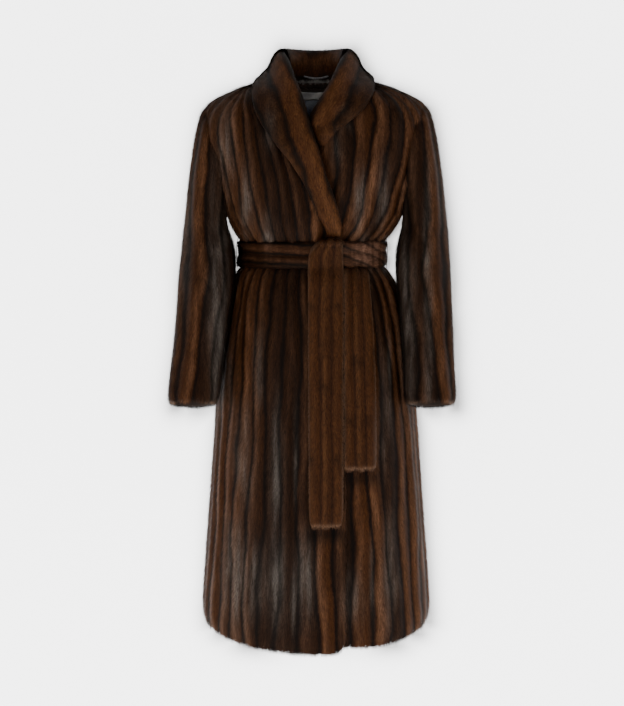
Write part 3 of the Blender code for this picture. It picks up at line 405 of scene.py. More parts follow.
@dataclass
class Lie:
    """How the fur lies at each point of a skin.

    pelt counts the pelts and their parts across, nap is the way the hairs run, outward points
    away from the piece's middle, rim is 1 where rim light is painted at an edge, deep is 1 where
    shade is painted as no light gets in, layout is the point's place on a flat sheet from 0 to 1,
    loft is how much of their height the pelts have there, and lined is 1 where satin shows and no
    fur grows.
    """

    pelt: np.ndarray
    nap: np.ndarray
    outward: np.ndarray
    rim: np.ndarray
    deep: np.ndarray
    layout: np.ndarray
    loft: np.ndarray | float = 1.0
    lined: np.ndarray | float = 0.0


@dataclass(frozen=True)
class Tube:
    """One level of a body or sleeve: its middle, and its half width and half depth there."""

    level: float
    x: float
    y: float
    half_width: float
    half_depth: float


BODY_TUBE = (
    Tube(0.020, 0.000, 0.000, 0.232, 0.090),
    Tube(-0.120, 0.000, 0.000, 0.215, 0.117),
    Tube(-0.180, 0.000, 0.000, 0.198, 0.121),
    Tube(-0.250, -0.003, 0.000, 0.176, 0.118),
    Tube(-0.298, -0.007, 0.000, 0.145, 0.106),
    Tube(-0.334, -0.008, 0.000, 0.130, 0.095),
    Tube(-0.372, -0.007, 0.000, 0.147, 0.109),
    Tube(-0.460, -0.002, 0.000, 0.175, 0.134),
    Tube(-0.660, 0.000, 0.000, 0.198, 0.155),
    Tube(-1.062, 0.000, 0.000, 0.228, 0.182),
)
SLEEVE_TUBE = (
    Tube(0.000, 0.190, 0.000, 0.050, 0.060),
    Tube(-0.100, 0.205, 0.000, 0.045, 0.064),
    Tube(-0.280, 0.216, -0.012, 0.040, 0.066),
    Tube(-0.370, 0.213, -0.037, 0.052, 0.067),
    Tube(-0.460, 0.221, -0.058, 0.049, 0.064),
    Tube(-0.550, 0.228, -0.080, 0.047, 0.057),
    Tube(-0.622, 0.232, -0.098, 0.047, 0.051),
)

# The right front's free edge
RIGHT_EDGE_LEVELS = (-1.062, -0.370, -0.310, -0.250, -0.190, -0.160, -0.130, -0.100, -0.070, 0.000)
RIGHT_EDGE = (0.053, 0.053, 0.050, 0.038, 0.015, 0.001, -0.013, -0.026, -0.040, -0.078)

# Patches of painted sheen, the guard hairs' shine painted in as a pale grey colour: the place of
# each as seen from the front, its half width and half height, and its strength. The back has the
# same ones, the other way round.
SHEEN = (
    (-0.156, -0.953, 0.020, 0.080, 0.90),
    (-0.117, -0.960, 0.010, 0.060, 0.80),
    (-0.077, -0.950, 0.015, 0.065, 0.90),
    (-0.021, -0.944, 0.016, 0.055, 0.85),
    (0.142, -0.953, 0.012, 0.080, 0.70),
    (0.070, -0.985, 0.016, 0.040, 0.55),
    (-0.075, -0.743, 0.009, 0.090, 0.75),
    (-0.139, -0.718, 0.014, 0.070, 0.65),
    (-0.170, -0.573, 0.012, 0.070, 0.35),
    (-0.110, -0.540, 0.008, 0.060, 0.45),
    (0.130, -0.640, 0.010, 0.080, 0.45),
    (-0.137, -0.226, 0.009, 0.055, 0.75),
    (-0.096, -0.284, 0.010, 0.030, 0.75),
    (-0.177, -0.130, 0.014, 0.070, 0.55),
    (0.086, -0.216, 0.009, 0.045, 0.75),
    (0.128, -0.206, 0.009, 0.050, 0.65),
    (0.040, -0.120, 0.010, 0.030, 0.40),
    (-0.192, -0.430, 0.013, 0.170, 0.85),
    (-0.250, -0.300, 0.008, 0.120, 0.35),
    (0.178, -0.430, 0.012, 0.150, 0.60),
    (0.216, -0.400, 0.006, 0.170, 0.85),
    (0.250, -0.200, 0.010, 0.080, 0.35),
    (-0.088, -0.075, 0.010, 0.030, 0.70),
    (0.055, -0.060, 0.012, 0.020, 0.35),
    (0.100, -0.330, 0.034, 0.024, 0.95),
    # Single streaks of painted sheen
    (-0.081, -0.680, 0.0035, 0.045, 0.95),
    (-0.071, -0.775, 0.0035, 0.050, 0.95),
    (-0.176, -0.936, 0.0035, 0.032, 1.00),
    (-0.0445, -0.985, 0.0035, 0.045, 0.80),
    (0.107, -0.963, 0.0035, 0.065, 0.80),
    (-0.040, -0.700, 0.0030, 0.070, 0.60),
    (0.140, -0.560, 0.0035, 0.070, 0.60),
)
# Where the fronts lie in the shade just below a belt end: middle, half width and half height
SHADED = ((0.019, -0.858, 0.036, 0.013), (0.085, -0.750, 0.034, 0.013))
SHADED_DEPTH = 0.85
BACK_BEGINS = 0.02  # how far back the patches of the front reach


def sheen_at(points: np.ndarray) -> np.ndarray:
    """How much painted sheen, in pale grey, the fur has at each point, from 0 to 1."""
    x = np.where(points[:, 1] < BACK_BEGINS, points[:, 0], -points[:, 0])
    found = np.zeros(len(points))
    for centre, level, half_width, half_height, strength in SHEEN:
        away = ((x - centre) / half_width) ** 2 + ((points[:, 2] - level) / half_height) ** 2
        found = np.maximum(found, strength * np.exp(-0.7 * away))
    return found


def shaded_at(points: np.ndarray) -> np.ndarray:
    """How deep in a belt end's shade the fur is at each point, from 0 to 1."""
    found = np.zeros(len(points))
    for centre, level, half_width, half_height in SHADED:
        sideways = ((points[:, 0] - centre) / half_width) ** 8
        away = sideways + ((points[:, 2] - level) / half_height) ** 2
        found = np.maximum(found, SHADED_DEPTH * np.exp(-away) * (points[:, 1] < 0.0))
    return found


def unit(vectors: np.ndarray) -> np.ndarray:
    """The vectors at length 1."""
    return vectors / np.maximum(np.linalg.norm(vectors, axis=1, keepdims=True), 1e-9)


def ease(low: float, high: float, value: np.ndarray) -> np.ndarray:
    """0 below low, 1 above high, and smooth in between."""
    share = np.clip((value - low) / (high - low), 0.0, 1.0)
    return share * share * (3.0 - 2.0 * share)


def band(low: float, rise: float, fall: float, high: float, value: np.ndarray) -> np.ndarray:
    """1 between rise and fall, 0 outside low and high, and smooth in between."""
    return ease(low, rise, value) * (1.0 - ease(fall, high, value))


def wander(pelt: np.ndarray, z: np.ndarray) -> np.ndarray:
    """How far the pelts stray sideways at each level, as a share of a pelt's width."""
    slow = 0.12 * np.sin(13.0 * z + 1.3 * pelt) + 0.06 * np.sin(31.0 * z - 1.9 * pelt)
    return slow + 0.03 * np.sin(67.0 * z + 2.9 * pelt)


STEP_DOWN = 0.004  # over how much height a tube's lean is measured
EDGE_PELTS = (0.01, 0.10)  # pelts this near the free edge run along it; those this far don't
LAYOUT_TOP = 0.08
# Heights above a hem: where a cuff's painted rim light starts, is brightest, fades and ends, how
# far up shade is painted, and where pelts reach their full height
RIM_LIGHT_BAND = (0.004, 0.010, 0.012, 0.022)
HEM_SHADE = 0.010
HEM_LOFT = 0.035


@dataclass(frozen=True)
class TubeLie:
    """Fur that runs down a body or sleeve, in pelts side by side round it."""

    tube: tuple[Tube, ...]
    pelts: int
    hem: float
    drop: float = 0.0  # how much lower the hem is in the middle of the front or back
    lift: float = 0.0  # how much higher it is again beside the middle of the front
    side: float = 1.0
    behind: bool = False
    top_out: float = 0.0  # how far up outward leans, for a cap that closes over the top
    rim_light: float = 0.0  # how strong the rim light painted just above the hem is
    edge: bool = False  # whether it is the right front, whose pelts follow its free edge

    def __call__(self, points: np.ndarray) -> Lie:
        """The lie of the fur at each point."""
        levels = [row.level for row in reversed(self.tube)]

        def at(name: str, z: np.ndarray) -> np.ndarray:
            """One column of the tube's table at those levels."""
            return np.interp(z, levels, [getattr(row, name) for row in reversed(self.tube)])

        z = points[:, 2]
        wide, deep = at("half_width", z), at("half_depth", z)
        across = points[:, 0] * self.side - at("x", z)
        if self.edge:
            # Pelts beside the free edge run along it
            edge = np.interp(z, RIGHT_EDGE_LEVELS, RIGHT_EDGE)
            across -= (edge - RIGHT_EDGE[0]) * (1.0 - ease(*EDGE_PELTS, edge - points[:, 0]))
        across /= wide
        ahead = -(points[:, 1] - at("y", z)) / deep
        angle = np.arctan2(across, ahead)
        turns = (angle % math.tau if self.behind else angle) / math.tau
        sine, cosine = np.sin(angle), np.cos(angle)
        low = z - STEP_DOWN
        lean = np.column_stack(
            (
                (at("x", low) - at("x", z) + sine * (at("half_width", low) - wide)) * self.side,
                at("y", low) - at("y", z) - cosine * (at("half_depth", low) - deep),
                np.full(len(z), -STEP_DOWN),
            )
        )
        outward = unit(np.column_stack((sine * self.side, -cosine, np.full(len(z), self.top_out))))
        start = 0.0 if self.behind else 0.5
        layout = np.column_stack((turns + start, (z - self.hem) / (LAYOUT_TOP - self.hem)))
        middle = np.abs(cosine)
        above = z - self.hem + self.drop * middle**1.2 - self.lift * middle**8
        # Painted rim light just above a cuff's hem, and painted shade right at the hem
        rim = self.rim_light * band(*RIM_LIGHT_BAND, above)
        shade = (1.0 if self.rim_light else 0.5) * (1.0 - ease(0.0, HEM_SHADE, above))
        pelt = turns * self.pelts
        loft = ease(0.0, HEM_LOFT, above)
        return Lie(pelt + wander(pelt, z), unit(lean), outward, rim, shade, layout, loft)


# The collar's roll line and the direction from it to the leaf's edge, from the right front
# round the back neck to the left front
COLLAR_LINE = (
    ((0.045, -0.112, -0.288), (0.026, -0.114, -0.296)),
    ((0.0355, -0.124, -0.240), (0.001, -0.126, -0.250)),
    ((0.014, -0.130, -0.180), (-0.026, -0.130, -0.190)),
    ((0.001, -0.130, -0.134), (-0.055, -0.130, -0.144)),
    ((-0.018, -0.122, -0.076), (-0.098, -0.105, -0.094)),
    ((-0.038, -0.097, -0.012), (-0.119, -0.058, -0.034)),
    ((-0.061, -0.044, 0.052), (-0.111, 0.008, 0.006)),
    ((-0.060, 0.032, 0.0685), (-0.097, 0.083, -0.002)),
    ((-0.023, 0.071, 0.0702), (-0.034, 0.126, -0.015)),
    ((0.019, 0.071, 0.0702), (0.034, 0.126, -0.015)),
    ((0.056, 0.032, 0.0685), (0.096, 0.083, -0.002)),
    ((0.055, -0.044, 0.052), (0.108, 0.008, 0.006)),
    ((0.027, -0.097, -0.008), (0.107, -0.058, -0.032)),
    ((-0.003, -0.108, -0.060), (0.062, -0.098, -0.078)),
    ((-0.013, -0.106, -0.096), (0.012, -0.104, -0.126)),
)
COLLAR_PELT = 0.042
COLLAR_START = 0.12  # which share of a pelt the roll line lies at
LEAF_SHADE = (0.032, 0.046)  # how far across the leaf its shade starts and is full
NECK_REACH = 0.085  # how far from the middle the neck's inside is at most
SATIN_TOP = (0.010, 0.014)  # between these levels the neck's inside turns from satin to fur


def collar_lie(points: np.ndarray) -> Lie:
    """Fur that runs along the collar's roll line, forwards on both sides."""
    rolls, edges = (np.array(column) for column in zip(*COLLAR_LINE, strict=True))
    best = np.full(len(points), np.inf)
    foot, way, nap, run = (np.zeros((len(points), n)) for n in (3, 3, 3, 1))
    middle = (len(rolls) - 1) / 2
    for i in range(len(rolls) - 1):
        step = rolls[i + 1] - rolls[i]
        share = np.clip((points - rolls[i]) @ step / (step @ step), 0.0, 1.0)
        near = rolls[i] + share[:, None] * step
        leaf = edges[i] + share[:, None] * (edges[i + 1] - edges[i]) - near
        # Feet are judged in the plane across the roll line, so that a leaf keeps its own part of it
        apart = np.linalg.norm(points - near, axis=1)
        closer = apart < best
        best[closer] = apart[closer]
        foot[closer], way[closer] = near[closer], leaf[closer]
        nap[closer] = unit(step[None])[0] * (1.0 if i + 0.5 > middle else -1.0)
        run[closer, 0] = (i + share[closer]) / (len(rolls) - 1)
    way = unit(way)
    across = ((points - foot) * way).sum(1)
    drop = ease(0.0, 0.05, points[:, 1])[:, None]
    nap = unit(nap * (1.0 - drop) + DOWN * drop)
    layout = np.column_stack((run[:, 0], 0.35 + across / 0.25))
    pelt = across / COLLAR_PELT + COLLAR_START
    pelt += 0.4 * wander(pelt, 3.0 * run[:, 0])
    deep = 0.55 * ease(*LEAF_SHADE, across)
    inside = (np.hypot(points[:, 0], points[:, 1]) < NECK_REACH) * ease(0.0, 0.025, points[:, 1])
    lined = inside * (1.0 - ease(*SATIN_TOP, points[:, 2]))
    outward, rim = np.zeros_like(points), np.zeros(len(points))
    return Lie(pelt, nap, outward, rim, deep, layout, 1.0 - lined, lined)


@dataclass(frozen=True)
class BeltLie:
    """Fur that runs along the belt, in strands above each other."""

    level: float
    half_height: float
    middle: float = -0.008

    def __call__(self, points: np.ndarray) -> Lie:
        """The lie of the fur at each point."""
        angle = np.arctan2(points[:, 0] - self.middle, -points[:, 1])
        height = (points[:, 2] - self.level) / self.half_height
        along = np.column_stack((np.cos(angle), np.sin(angle), np.full(len(angle), -0.15)))
        outward = np.column_stack((np.sin(angle), -np.cos(angle), np.zeros(len(angle))))
        layout = np.column_stack((angle / math.tau + 0.5, height * 0.3 + 0.5))
        pelt = height * 1.3 + angle * np.where(angle > 0.1, 2.2, 0.25)
        # Painted shade along the belt's upper and lower edges
        deep = 0.8 * ease(0.75, 1.05, np.abs(height))
        return Lie(pelt, unit(along), outward, np.zeros(len(angle)), deep, layout)


END_RIM_LIGHT_BAND = (0.002, 0.006, 0.008, 0.014)  # where rim light is painted, as above a cuff, but above a belt end's low end
END_EDGE = 0.006  # how far in from its sides a belt end has painted rim light
CREASE_WIDTH = 0.004


@dataclass(frozen=True)
class EndLie:
    """Fur that runs down a belt end in three pelts."""

    levels: tuple[float, ...]
    left: tuple[float, ...]
    right: tuple[float, ...]
    creases: tuple[float, ...] = ()
    pelts: float = 3.0

    def __call__(self, points: np.ndarray) -> Lie:
        """The lie of the fur at each point."""
        left, right = (np.interp(points[:, 2], self.levels, v) for v in (self.left, self.right))
        share = (points[:, 0] - left) / (right - left)
        spread = (share - 0.5)[:, None] * np.array((0.5, 0.0, 0.0))
        low, high = self.levels[0], self.levels[-1]
        above = points[:, 2] - low
        sides = np.minimum(points[:, 0] - left, right - points[:, 0])
        # Painted rim light along the low end and the sides
        rim = np.maximum(band(*END_RIM_LIGHT_BAND, above), 0.75 * (1.0 - ease(0.0, END_EDGE, sides)))
        slant = points[:, 2] + 0.012 * np.sin(3.5 * share)
        fold = np.zeros(len(share))
        for level in self.creases:
            fold = fold + np.exp(-(((slant - level) / CREASE_WIDTH) ** 2))
        # Painted shade at the very low end and in the creases
        deep = np.maximum(1.0 - ease(0.0, 0.005, above), 0.55 * fold)
        layout = np.column_stack((share * 0.3 + 0.1, (points[:, 2] - low) / (high - low)))
        front = np.tile((0.0, -1.0, 0.0), (len(points), 1))
        pelt = share * self.pelts
        pelt += 0.6 * wander(pelt, points[:, 2])
        return Lie(pelt, unit(DOWN + spread), front, rim, deep, layout, 1.0 - 0.8 * fold)


# Meshes


def read(mesh: bpy.types.Mesh, what: str = "co") -> np.ndarray:
    """The places or normals of a mesh's points."""
    flat = np.empty(len(mesh.vertices) * 3, np.float32)
    mesh.vertices.foreach_get(what, flat)
    return flat.reshape(-1, 3).astype(float)


def write(mesh: bpy.types.Mesh, name: str, values: np.ndarray) -> None:
    """Gives each point of a mesh a number or a vector under that name."""
    kind, place = ("FLOAT", "value") if values.ndim == 1 else ("FLOAT_VECTOR", "vector")
    attribute = mesh.attributes.new(name, kind, "POINT")
    attribute.data.foreach_set(place, values.astype(np.float32).ravel())


def carried(mesh: bpy.types.Mesh, name: str, width: int) -> np.ndarray:
    """The values that a mesh carries under that name."""
    place = "value" if width == 1 else "vector"
    flat = np.empty(len(mesh.vertices) * width, np.float32)
    mesh.attributes[name].data.foreach_get(place, flat)
    return flat.reshape(-1, width).astype(float) if width > 1 else flat.astype(float)


def link(name: str, mesh: bpy.types.Mesh) -> bpy.types.Object:
    """A new object in the scene with that mesh."""
    made = bpy.data.objects.new(name, mesh)
    bpy.context.scene.collection.objects.link(made)
    return made


def merged(mesh: bpy.types.Mesh) -> bmesh.types.BMesh:
    """A copy of a solid's mesh with its points joined and most triangles paired into quads."""
    work = bmesh.new()
    work.from_mesh(mesh)
    bmesh.ops.remove_doubles(work, verts=work.verts, dist=2e-5)
    bmesh.ops.dissolve_degenerate(work, edges=work.edges, dist=1e-6)
    bmesh.ops.join_triangles(
        work,
        faces=work.faces,
        angle_face_threshold=math.radians(40),
        angle_shape_threshold=math.radians(60),
    )
    return work


def evaluated(obj: bpy.types.Object, name: str) -> bpy.types.Mesh:
    """The plain mesh that an object's modifiers make. The modifiers are removed."""
    graph = bpy.context.evaluated_depsgraph_get()
    made = bpy.data.meshes.new_from_object(obj.evaluated_get(graph), depsgraph=graph)
    made.name = name
    obj.modifiers.clear()
    return made


def rounded(node: bpy.types.Object, name: str) -> bpy.types.Object:
    """A new object with a smooth, rounded copy of a solid.

    Args:
        node: The solid.
        name: The new object's name.

    Returns:
        The new object.
    """
    mesh = bpy.data.meshes.new(name)
    work = merged(node.data)
    work.to_mesh(mesh)
    work.free()
    made = link(name, mesh)
    split = made.modifiers.new("Round", "SUBSURF")
    split.levels = ROUNDING
    made.data = evaluated(made, name)
    made.data.polygons.foreach_set("use_smooth", [True] * len(made.data.polygons))
    return made


class Cover:
    """Finds where one piece lies close over another."""

    def __init__(self, nodes: dict[str, bpy.types.Object]) -> None:
        """A search tree of each solid's faces."""
        self.trees: dict[str, BVHTree] = {}
        for name, node in nodes.items():
            points = [v.co.copy() for v in node.data.vertices]
            faces = [tuple(p.vertices) for p in node.data.polygons]
            self.trees[name] = BVHTree.FromPolygons(points, faces)

    def nearest(self, points: np.ndarray) -> np.ndarray:
        """How far each point is from the nearest piece."""
        trees = self.trees.values()
        return np.array([min(t.find_nearest(p)[3] for t in trees) for p in map(Vector, points)])

    def open_at(self, own: str, points: np.ndarray, normals: np.ndarray) -> np.ndarray:
        """1 at each point with nothing of another piece close in front of it, else 0."""
        others = [tree for name, tree in self.trees.items() if name != own]
        found = np.ones(len(points))
        for i, (point, normal) in enumerate(zip(points, normals, strict=True)):
            start, way = Vector(point), Vector(normal)
            if any(tree.ray_cast(start, way, COVERED_WITHIN)[0] is not None for tree in others):
                found[i] = 0.0
        return found


# Fur


@dataclass
class BladeTree(Nodes):
    """The Geometry Nodes tree that grows blades of fur from a skin.

    Each blade is one long triangle. It lies along the skin's nap, lifted off it, and it
    keeps the attributes of the point that it grows from.
    """

    name: str = "Fur blades"
    inputs: dict[str, str] = field(default_factory=dict)
    tree: bpy.types.NodeTree | None = None

    SIZES = (
        ("Density", "NodeSocketFloat"),
        ("Length", "NodeSocketFloat"),
        ("Width", "NodeSocketFloat"),
        ("Lift", "NodeSocketFloat"),
        ("Scatter", "NodeSocketFloat"),
        ("Seed", "NodeSocketInt"),
        ("Material", "NodeSocketMaterial"),
    )

    def named(self, name: str, kind: str) -> bpy.types.NodeSocket:
        """What the mesh carries under that name."""
        node = self.node("GeometryNodeInputNamedAttribute", {"data_type": kind}, {"Name": name})
        return node.outputs["Attribute"]

    def vector(self, operation: str, *values: object) -> bpy.types.NodeSocket:
        """One Vector Math node."""
        places = {0: values[0]}
        if len(values) > 1:
            places["Scale" if operation == "SCALE" else 1] = values[1]
        return self.output("ShaderNodeVectorMath", {"operation": operation}, places)

    def number(self, operation: str, *values: object) -> bpy.types.NodeSocket:
        """One Math node."""
        return self.output("ShaderNodeMath", {"operation": operation}, dict(enumerate(values)))

    def chance(self, kind: str, low: object, high: object, seed: object) -> bpy.types.NodeSocket:
        """A random value for each blade."""
        node = self.node("FunctionNodeRandomValue", {"data_type": kind})
        places = {"FLOAT": (2, 3, 1), "FLOAT_VECTOR": (0, 1, 0)}[kind]
        node.inputs[places[0]].default_value = low
        node.inputs[places[1]].default_value = high
        self.tree.links.new(seed, node.inputs["Seed"])
        return node.outputs[places[2]]

    def blade(self) -> bpy.types.NodeSocket:
        """One upright triangle, 1 wide at its root and 1 long, that knows how near its tip is."""
        sizes = {"Vertices": 3, "Radius": 1.0}
        circle = self.output("GeometryNodeMeshCircle", {"fill_type": "NGON"}, sizes)
        place = self.output("GeometryNodeInputPosition")
        split = self.node("ShaderNodeSeparateXYZ", values={0: place})
        across = self.number("MULTIPLY", split.outputs[1], 0.5 / math.sin(math.tau / 3))
        up = self.number("MULTIPLY", self.number("ADD", split.outputs[0], 0.5), 2 / 3)
        stand = self.output("ShaderNodeCombineXYZ", values={0: across, 2: up})
        places = {"Geometry": circle, "Position": stand}
        upright = self.output("GeometryNodeSetPosition", values=places)
        height = self.node("ShaderNodeSeparateXYZ", values={0: place}).outputs[2]
        settings = {"data_type": "FLOAT", "domain": "POINT"}
        values = {"Geometry": upright, "Name": "tip", "Value": height}
        return self.output("GeometryNodeStoreNamedAttribute", settings, values)

    def build(self) -> None:
        """Builds the tree and notes the identifiers of its inputs."""
        self.tree = bpy.data.node_groups.new(self.name, "GeometryNodeTree")
        face = self.tree.interface
        face.new_socket("Geometry", in_out="INPUT", socket_type="NodeSocketGeometry")
        for name, kind in self.SIZES:
            self.inputs[name] = face.new_socket(name, in_out="INPUT", socket_type=kind).identifier
        face.new_socket("Geometry", in_out="OUTPUT", socket_type="NodeSocketGeometry")
        given = self.node("NodeGroupInput").outputs
        seed = given["Seed"]

        density = self.number("MULTIPLY", given["Density"], self.named("cover", "FLOAT"))
        scattered = self.output(
            "GeometryNodeDistributePointsOnFaces",
            {"distribute_method": "RANDOM"},
            {"Mesh": given["Geometry"], "Density": density, "Seed": seed},
        )
        shade = self.chance("FLOAT", 0.0, 1.0, seed)
        shaded = self.output(
            "GeometryNodeStoreNamedAttribute",
            {"data_type": "FLOAT", "domain": "POINT"},
            {"Geometry": scattered, "Name": "shade", "Value": shade},
        )

        normal = self.named("skin", "FLOAT_VECTOR")
        seeds = [self.number("ADD", seed, n) for n in (11.0, 23.0)]
        any_way = self.chance("FLOAT_VECTOR", (-1.0,) * 3, (1.0,) * 3, seeds[0])
        astray = self.vector("SCALE", any_way, given["Scatter"])
        lifted = self.vector("SCALE", normal, given["Lift"])
        way = self.vector("ADD", self.named("nap", "FLOAT_VECTOR"), lifted)
        way = self.vector("ADD", way, astray)
        align = "FunctionNodeAlignRotationToVector"
        along = self.output(align, {"axis": "Z"}, {"Vector": way})
        settings = {"axis": "Y", "pivot_axis": "Z"}
        turned = self.output(align, settings, {"Rotation": along, "Vector": normal})
        length = self.number("MULTIPLY", given["Length"], self.named("grow", "FLOAT"))
        length = self.number("MULTIPLY", length, self.chance("FLOAT", 0.65, 1.25, seeds[1]))
        scales = {0: given["Width"], 1: 1.0, 2: length}
        size = self.output("ShaderNodeCombineXYZ", values=scales)
        planting = {"Points": shaded, "Instance": self.blade(), "Rotation": turned, "Scale": size}
        planted = self.output("GeometryNodeInstanceOnPoints", values=planting)
        real = self.output("GeometryNodeRealizeInstances", values={0: planted})
        wearing = {"Geometry": real, "Material": given["Material"]}
        dressed = self.output("GeometryNodeSetMaterial", values=wearing)
        out = self.node("NodeGroupOutput")
        self.tree.links.new(dressed, out.inputs[0])


@dataclass
class Fur:
    """The blades of fur on one skin."""

    blades: int
    length: float
    width: float
    lift: float
    scatter: float
    seed: int
    upright: float = 0.75  # how much of the skin's own normal the blades are shaded with

    def grow(
        self, skin: bpy.types.Object, tree: BladeTree, material: bpy.types.Material
    ) -> bpy.types.Object:
        """Grows the fur as a plain mesh.

        Args:
            skin: The skin, with its attributes.
            tree: The tree that grows the blades.
            material: What the fur wears.

        Returns:
            The fur's own object.
        """
        name = f"{skin.name}_fur"
        made = link(name, skin.data.copy())
        modifier = made.modifiers.new("Fur", "NODES")
        modifier.node_group = tree.tree
        values = {
            "Density": self.blades / self.open_area(skin.data),
            "Length": self.length,
            "Width": self.width,
            "Lift": self.lift,
            "Scatter": self.scatter,
            "Seed": self.seed,
            "Material": material,
        }
        for key, value in values.items():
            modifier[tree.inputs[key]] = value
        made.data = evaluated(made, name)
        self.shade(made.data)
        self.lay_out(made.data)
        LOG.info("%s: %d blades", name, len(made.data.polygons))
        return made

    def open_area(self, mesh: bpy.types.Mesh) -> float:
        """The area of a skin that grows fur, in square metres."""
        cover = carried(mesh, "cover", 1)
        return sum(p.area * float(np.mean(cover[list(p.vertices)])) for p in mesh.polygons)

    def shade(self, mesh: bpy.types.Mesh) -> None:
        """Turns the blades' shading normals towards the skin's, so that they shine as one pelt."""
        skin = carried(mesh, "skin", 3)
        own = read(mesh, "normal")
        own *= np.where((own * skin).sum(1) < 0.0, -1.0, 1.0)[:, None]
        normals = unit(skin * self.upright + own * (1.0 - self.upright))
        mesh.polygons.foreach_set("use_smooth", [True] * len(mesh.polygons))
        mesh.normals_split_custom_set_from_vertices(normals.tolist())

    def lay_out(self, mesh: bpy.types.Mesh) -> None:
        """Gives each blade a narrow triangle at its root's place in the piece's flat layout."""
        place = carried(mesh, "layout", 3)[:, :2]
        tip = carried(mesh, "tip", 1)
        order = np.arange(len(place)) % 3
        offset = np.column_stack((np.array(LAYOUT_BLADE)[order], -LAYOUT_BLADE_LENGTH * tip))
        place = np.clip(place + offset, 0.001, 0.999)
        loops = np.empty(len(mesh.loops), np.int32)
        mesh.loops.foreach_get("vertex_index", loops)
        layer = mesh.uv_layers.new(name="OFBake")
        layer.data.foreach_set("uv", place[loops].astype(np.float32).ravel())


OUTER_TURN = 0.15  # how far past side-on a face turns before it is all outside or inside
PELT_SWING = 0.45  # how much higher or lower than usual a pelt may stand
RIM_TRIM = 0.35  # how much shorter fur is where rim light is painted
DEEP_TRIM = 0.45  # the same where no light gets in
HIDE_TIP = 0.15  # the hide is coloured as hairs near their roots, of middling shade
HIDE_SHADE = 0.4


@dataclass
class Skin:
    """One piece of fur: its hide, which stands for a solid, and the fur that grows on it."""

    node: str
    slot: str
    wear: Wear
    lie: Callable[[np.ndarray], Lie]
    fur: Fur
    flat: tuple[float, float]
    area: float
    held: str
    rests_on: tuple[str, ...] = ()
    ridge: float = 0.0035
    all_round: bool = False
    bare: Callable[[np.ndarray], np.ndarray] | None = None

    def build(
        self, frame: dict, cover: Cover, tree: BladeTree, materials: dict[Wear, bpy.types.Material]
    ) -> list[bpy.types.Object]:
        """Args:
            frame: The loaded frame.
            cover: Where pieces lie over each other.
            tree: The tree that grows fur.
            materials: The finished furs.

        Returns:
            The hide and the fur.
        """
        hide = rounded(frame["nodes"][self.node], f"{self.node}_hide")
        material = materials[self.wear]
        hide.data.materials.clear()
        hide.data.materials.append(material)
        self.mark(hide.data, cover)
        fur = self.fur.grow(hide, tree, material)
        for piece in (hide, fur):
            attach(piece, BODY)
            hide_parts(self.node)
        LOG.info("%s: %d faces", hide.name, len(hide.data.polygons))
        return [hide, fur]

    def mark(self, mesh: bpy.types.Mesh, cover: Cover) -> None:
        """Raises the pelts and writes what the fur and the shaders read.

        Args:
            mesh: The hide's mesh.
            cover: Where pieces lie over each other.
        """
        points, normals = read(mesh), read(mesh, "normal")
        lie = self.lie(points)
        outer = np.ones(len(points))
        if not self.all_round:
            outer = ease(-OUTER_TURN, OUTER_TURN, (normals * lie.outward).sum(1))
        height = self.ridge * (1.0 + PELT_SWING * np.sin(2.4 * np.floor(lie.pelt)))
        raised = height * np.sin(math.pi * lie.pelt) ** 2 * outer * lie.loft
        points = points + normals * raised[:, None]
        mesh.vertices.foreach_set("co", points.astype(np.float32).ravel())
        mesh.update()
        normals = read(mesh, "normal")
        nap = unit(lie.nap - normals * (lie.nap * normals).sum(1)[:, None])
        open_at = cover.open_at(self.node, points, normals) * (outer > 0.5) * (1.0 - lie.lined)
        if self.bare is not None:
            open_at = open_at * (1.0 - self.bare(points))
        layout = LAYOUT_EDGE + (1.0 - 2.0 * LAYOUT_EDGE) * np.clip(lie.layout, 0.0, 1.0)
        write(mesh, "pelt", lie.pelt)
        write(mesh, "nap", nap)
        write(mesh, "skin", normals)
        write(mesh, "cover", open_at)
        write(mesh, "rim", lie.rim)
        shaded = shaded_at(points) if self.wear is Wear.COAT else 0.0
        write(mesh, "deep", np.maximum(lie.deep, shaded))
        write(mesh, "sheen", sheen_at(points))
        write(mesh, "satin", np.broadcast_to(lie.lined, len(points)))
        write(mesh, "grow", (1.0 - RIM_TRIM * lie.rim) * (1.0 - DEEP_TRIM * lie.deep))
        write(mesh, "inside", 1.0 - outer)
        write(mesh, "layout", np.column_stack((layout, np.zeros(len(points)))))
        write(mesh, "tip", np.full(len(points), HIDE_TIP))
        write(mesh, "shade", np.full(len(points), HIDE_SHADE))


# Soft folds in satin: radians in a metre across and down, and how far down they are full
FOLDS_ACROSS = 170.0
FOLDS_DOWN = 40.0
FOLDS_BEGIN = 0.03


@dataclass
class Trim:
    """A small cloth or cord piece, as a rounded copy of its solid."""

    node: str
    slot: str
    finish: ClothFinish
    flat: tuple[float, float] | None = None
    held: str = "stretched"
    rests_on: tuple[str, ...] = ()
    fold: float = 0.0  # height of soft folds on it

    def build(self, frame: dict) -> bpy.types.Object:
        """Args:
            frame: The loaded frame.

        Returns:
            The piece.
        """
        made = rounded(frame["nodes"][self.node], f"{self.node}_trim")
        made.data.materials.clear()
        made.data.materials.append(cloth_material(f"{self.node} cloth", self.finish))
        if self.fold:
            points = read(made.data)
            wave = np.sin(points[:, 0] * FOLDS_ACROSS + points[:, 2] * FOLDS_DOWN)
            points[:, 1] -= self.fold * wave * ease(0.0, FOLDS_BEGIN, -points[:, 2])
            made.data.vertices.foreach_set("co", points.astype(np.float32).ravel())
            made.data.update()
        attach(made, BODY)
        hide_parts(self.node)
        LOG.info("%s: %d faces", made.name, len(made.data.polygons))
        return made


# The coat's pieces

LAP_SHOWS = 0.012  # how far under the right front the left one still grows fur


def under_lap(points: np.ndarray) -> np.ndarray:
    """1 where the left front is hidden by the right one, else 0."""
    edge = np.interp(points[:, 2], RIGHT_EDGE_LEVELS, RIGHT_EDGE)
    return (points[:, 0] < edge - LAP_SHOWS).astype(float)


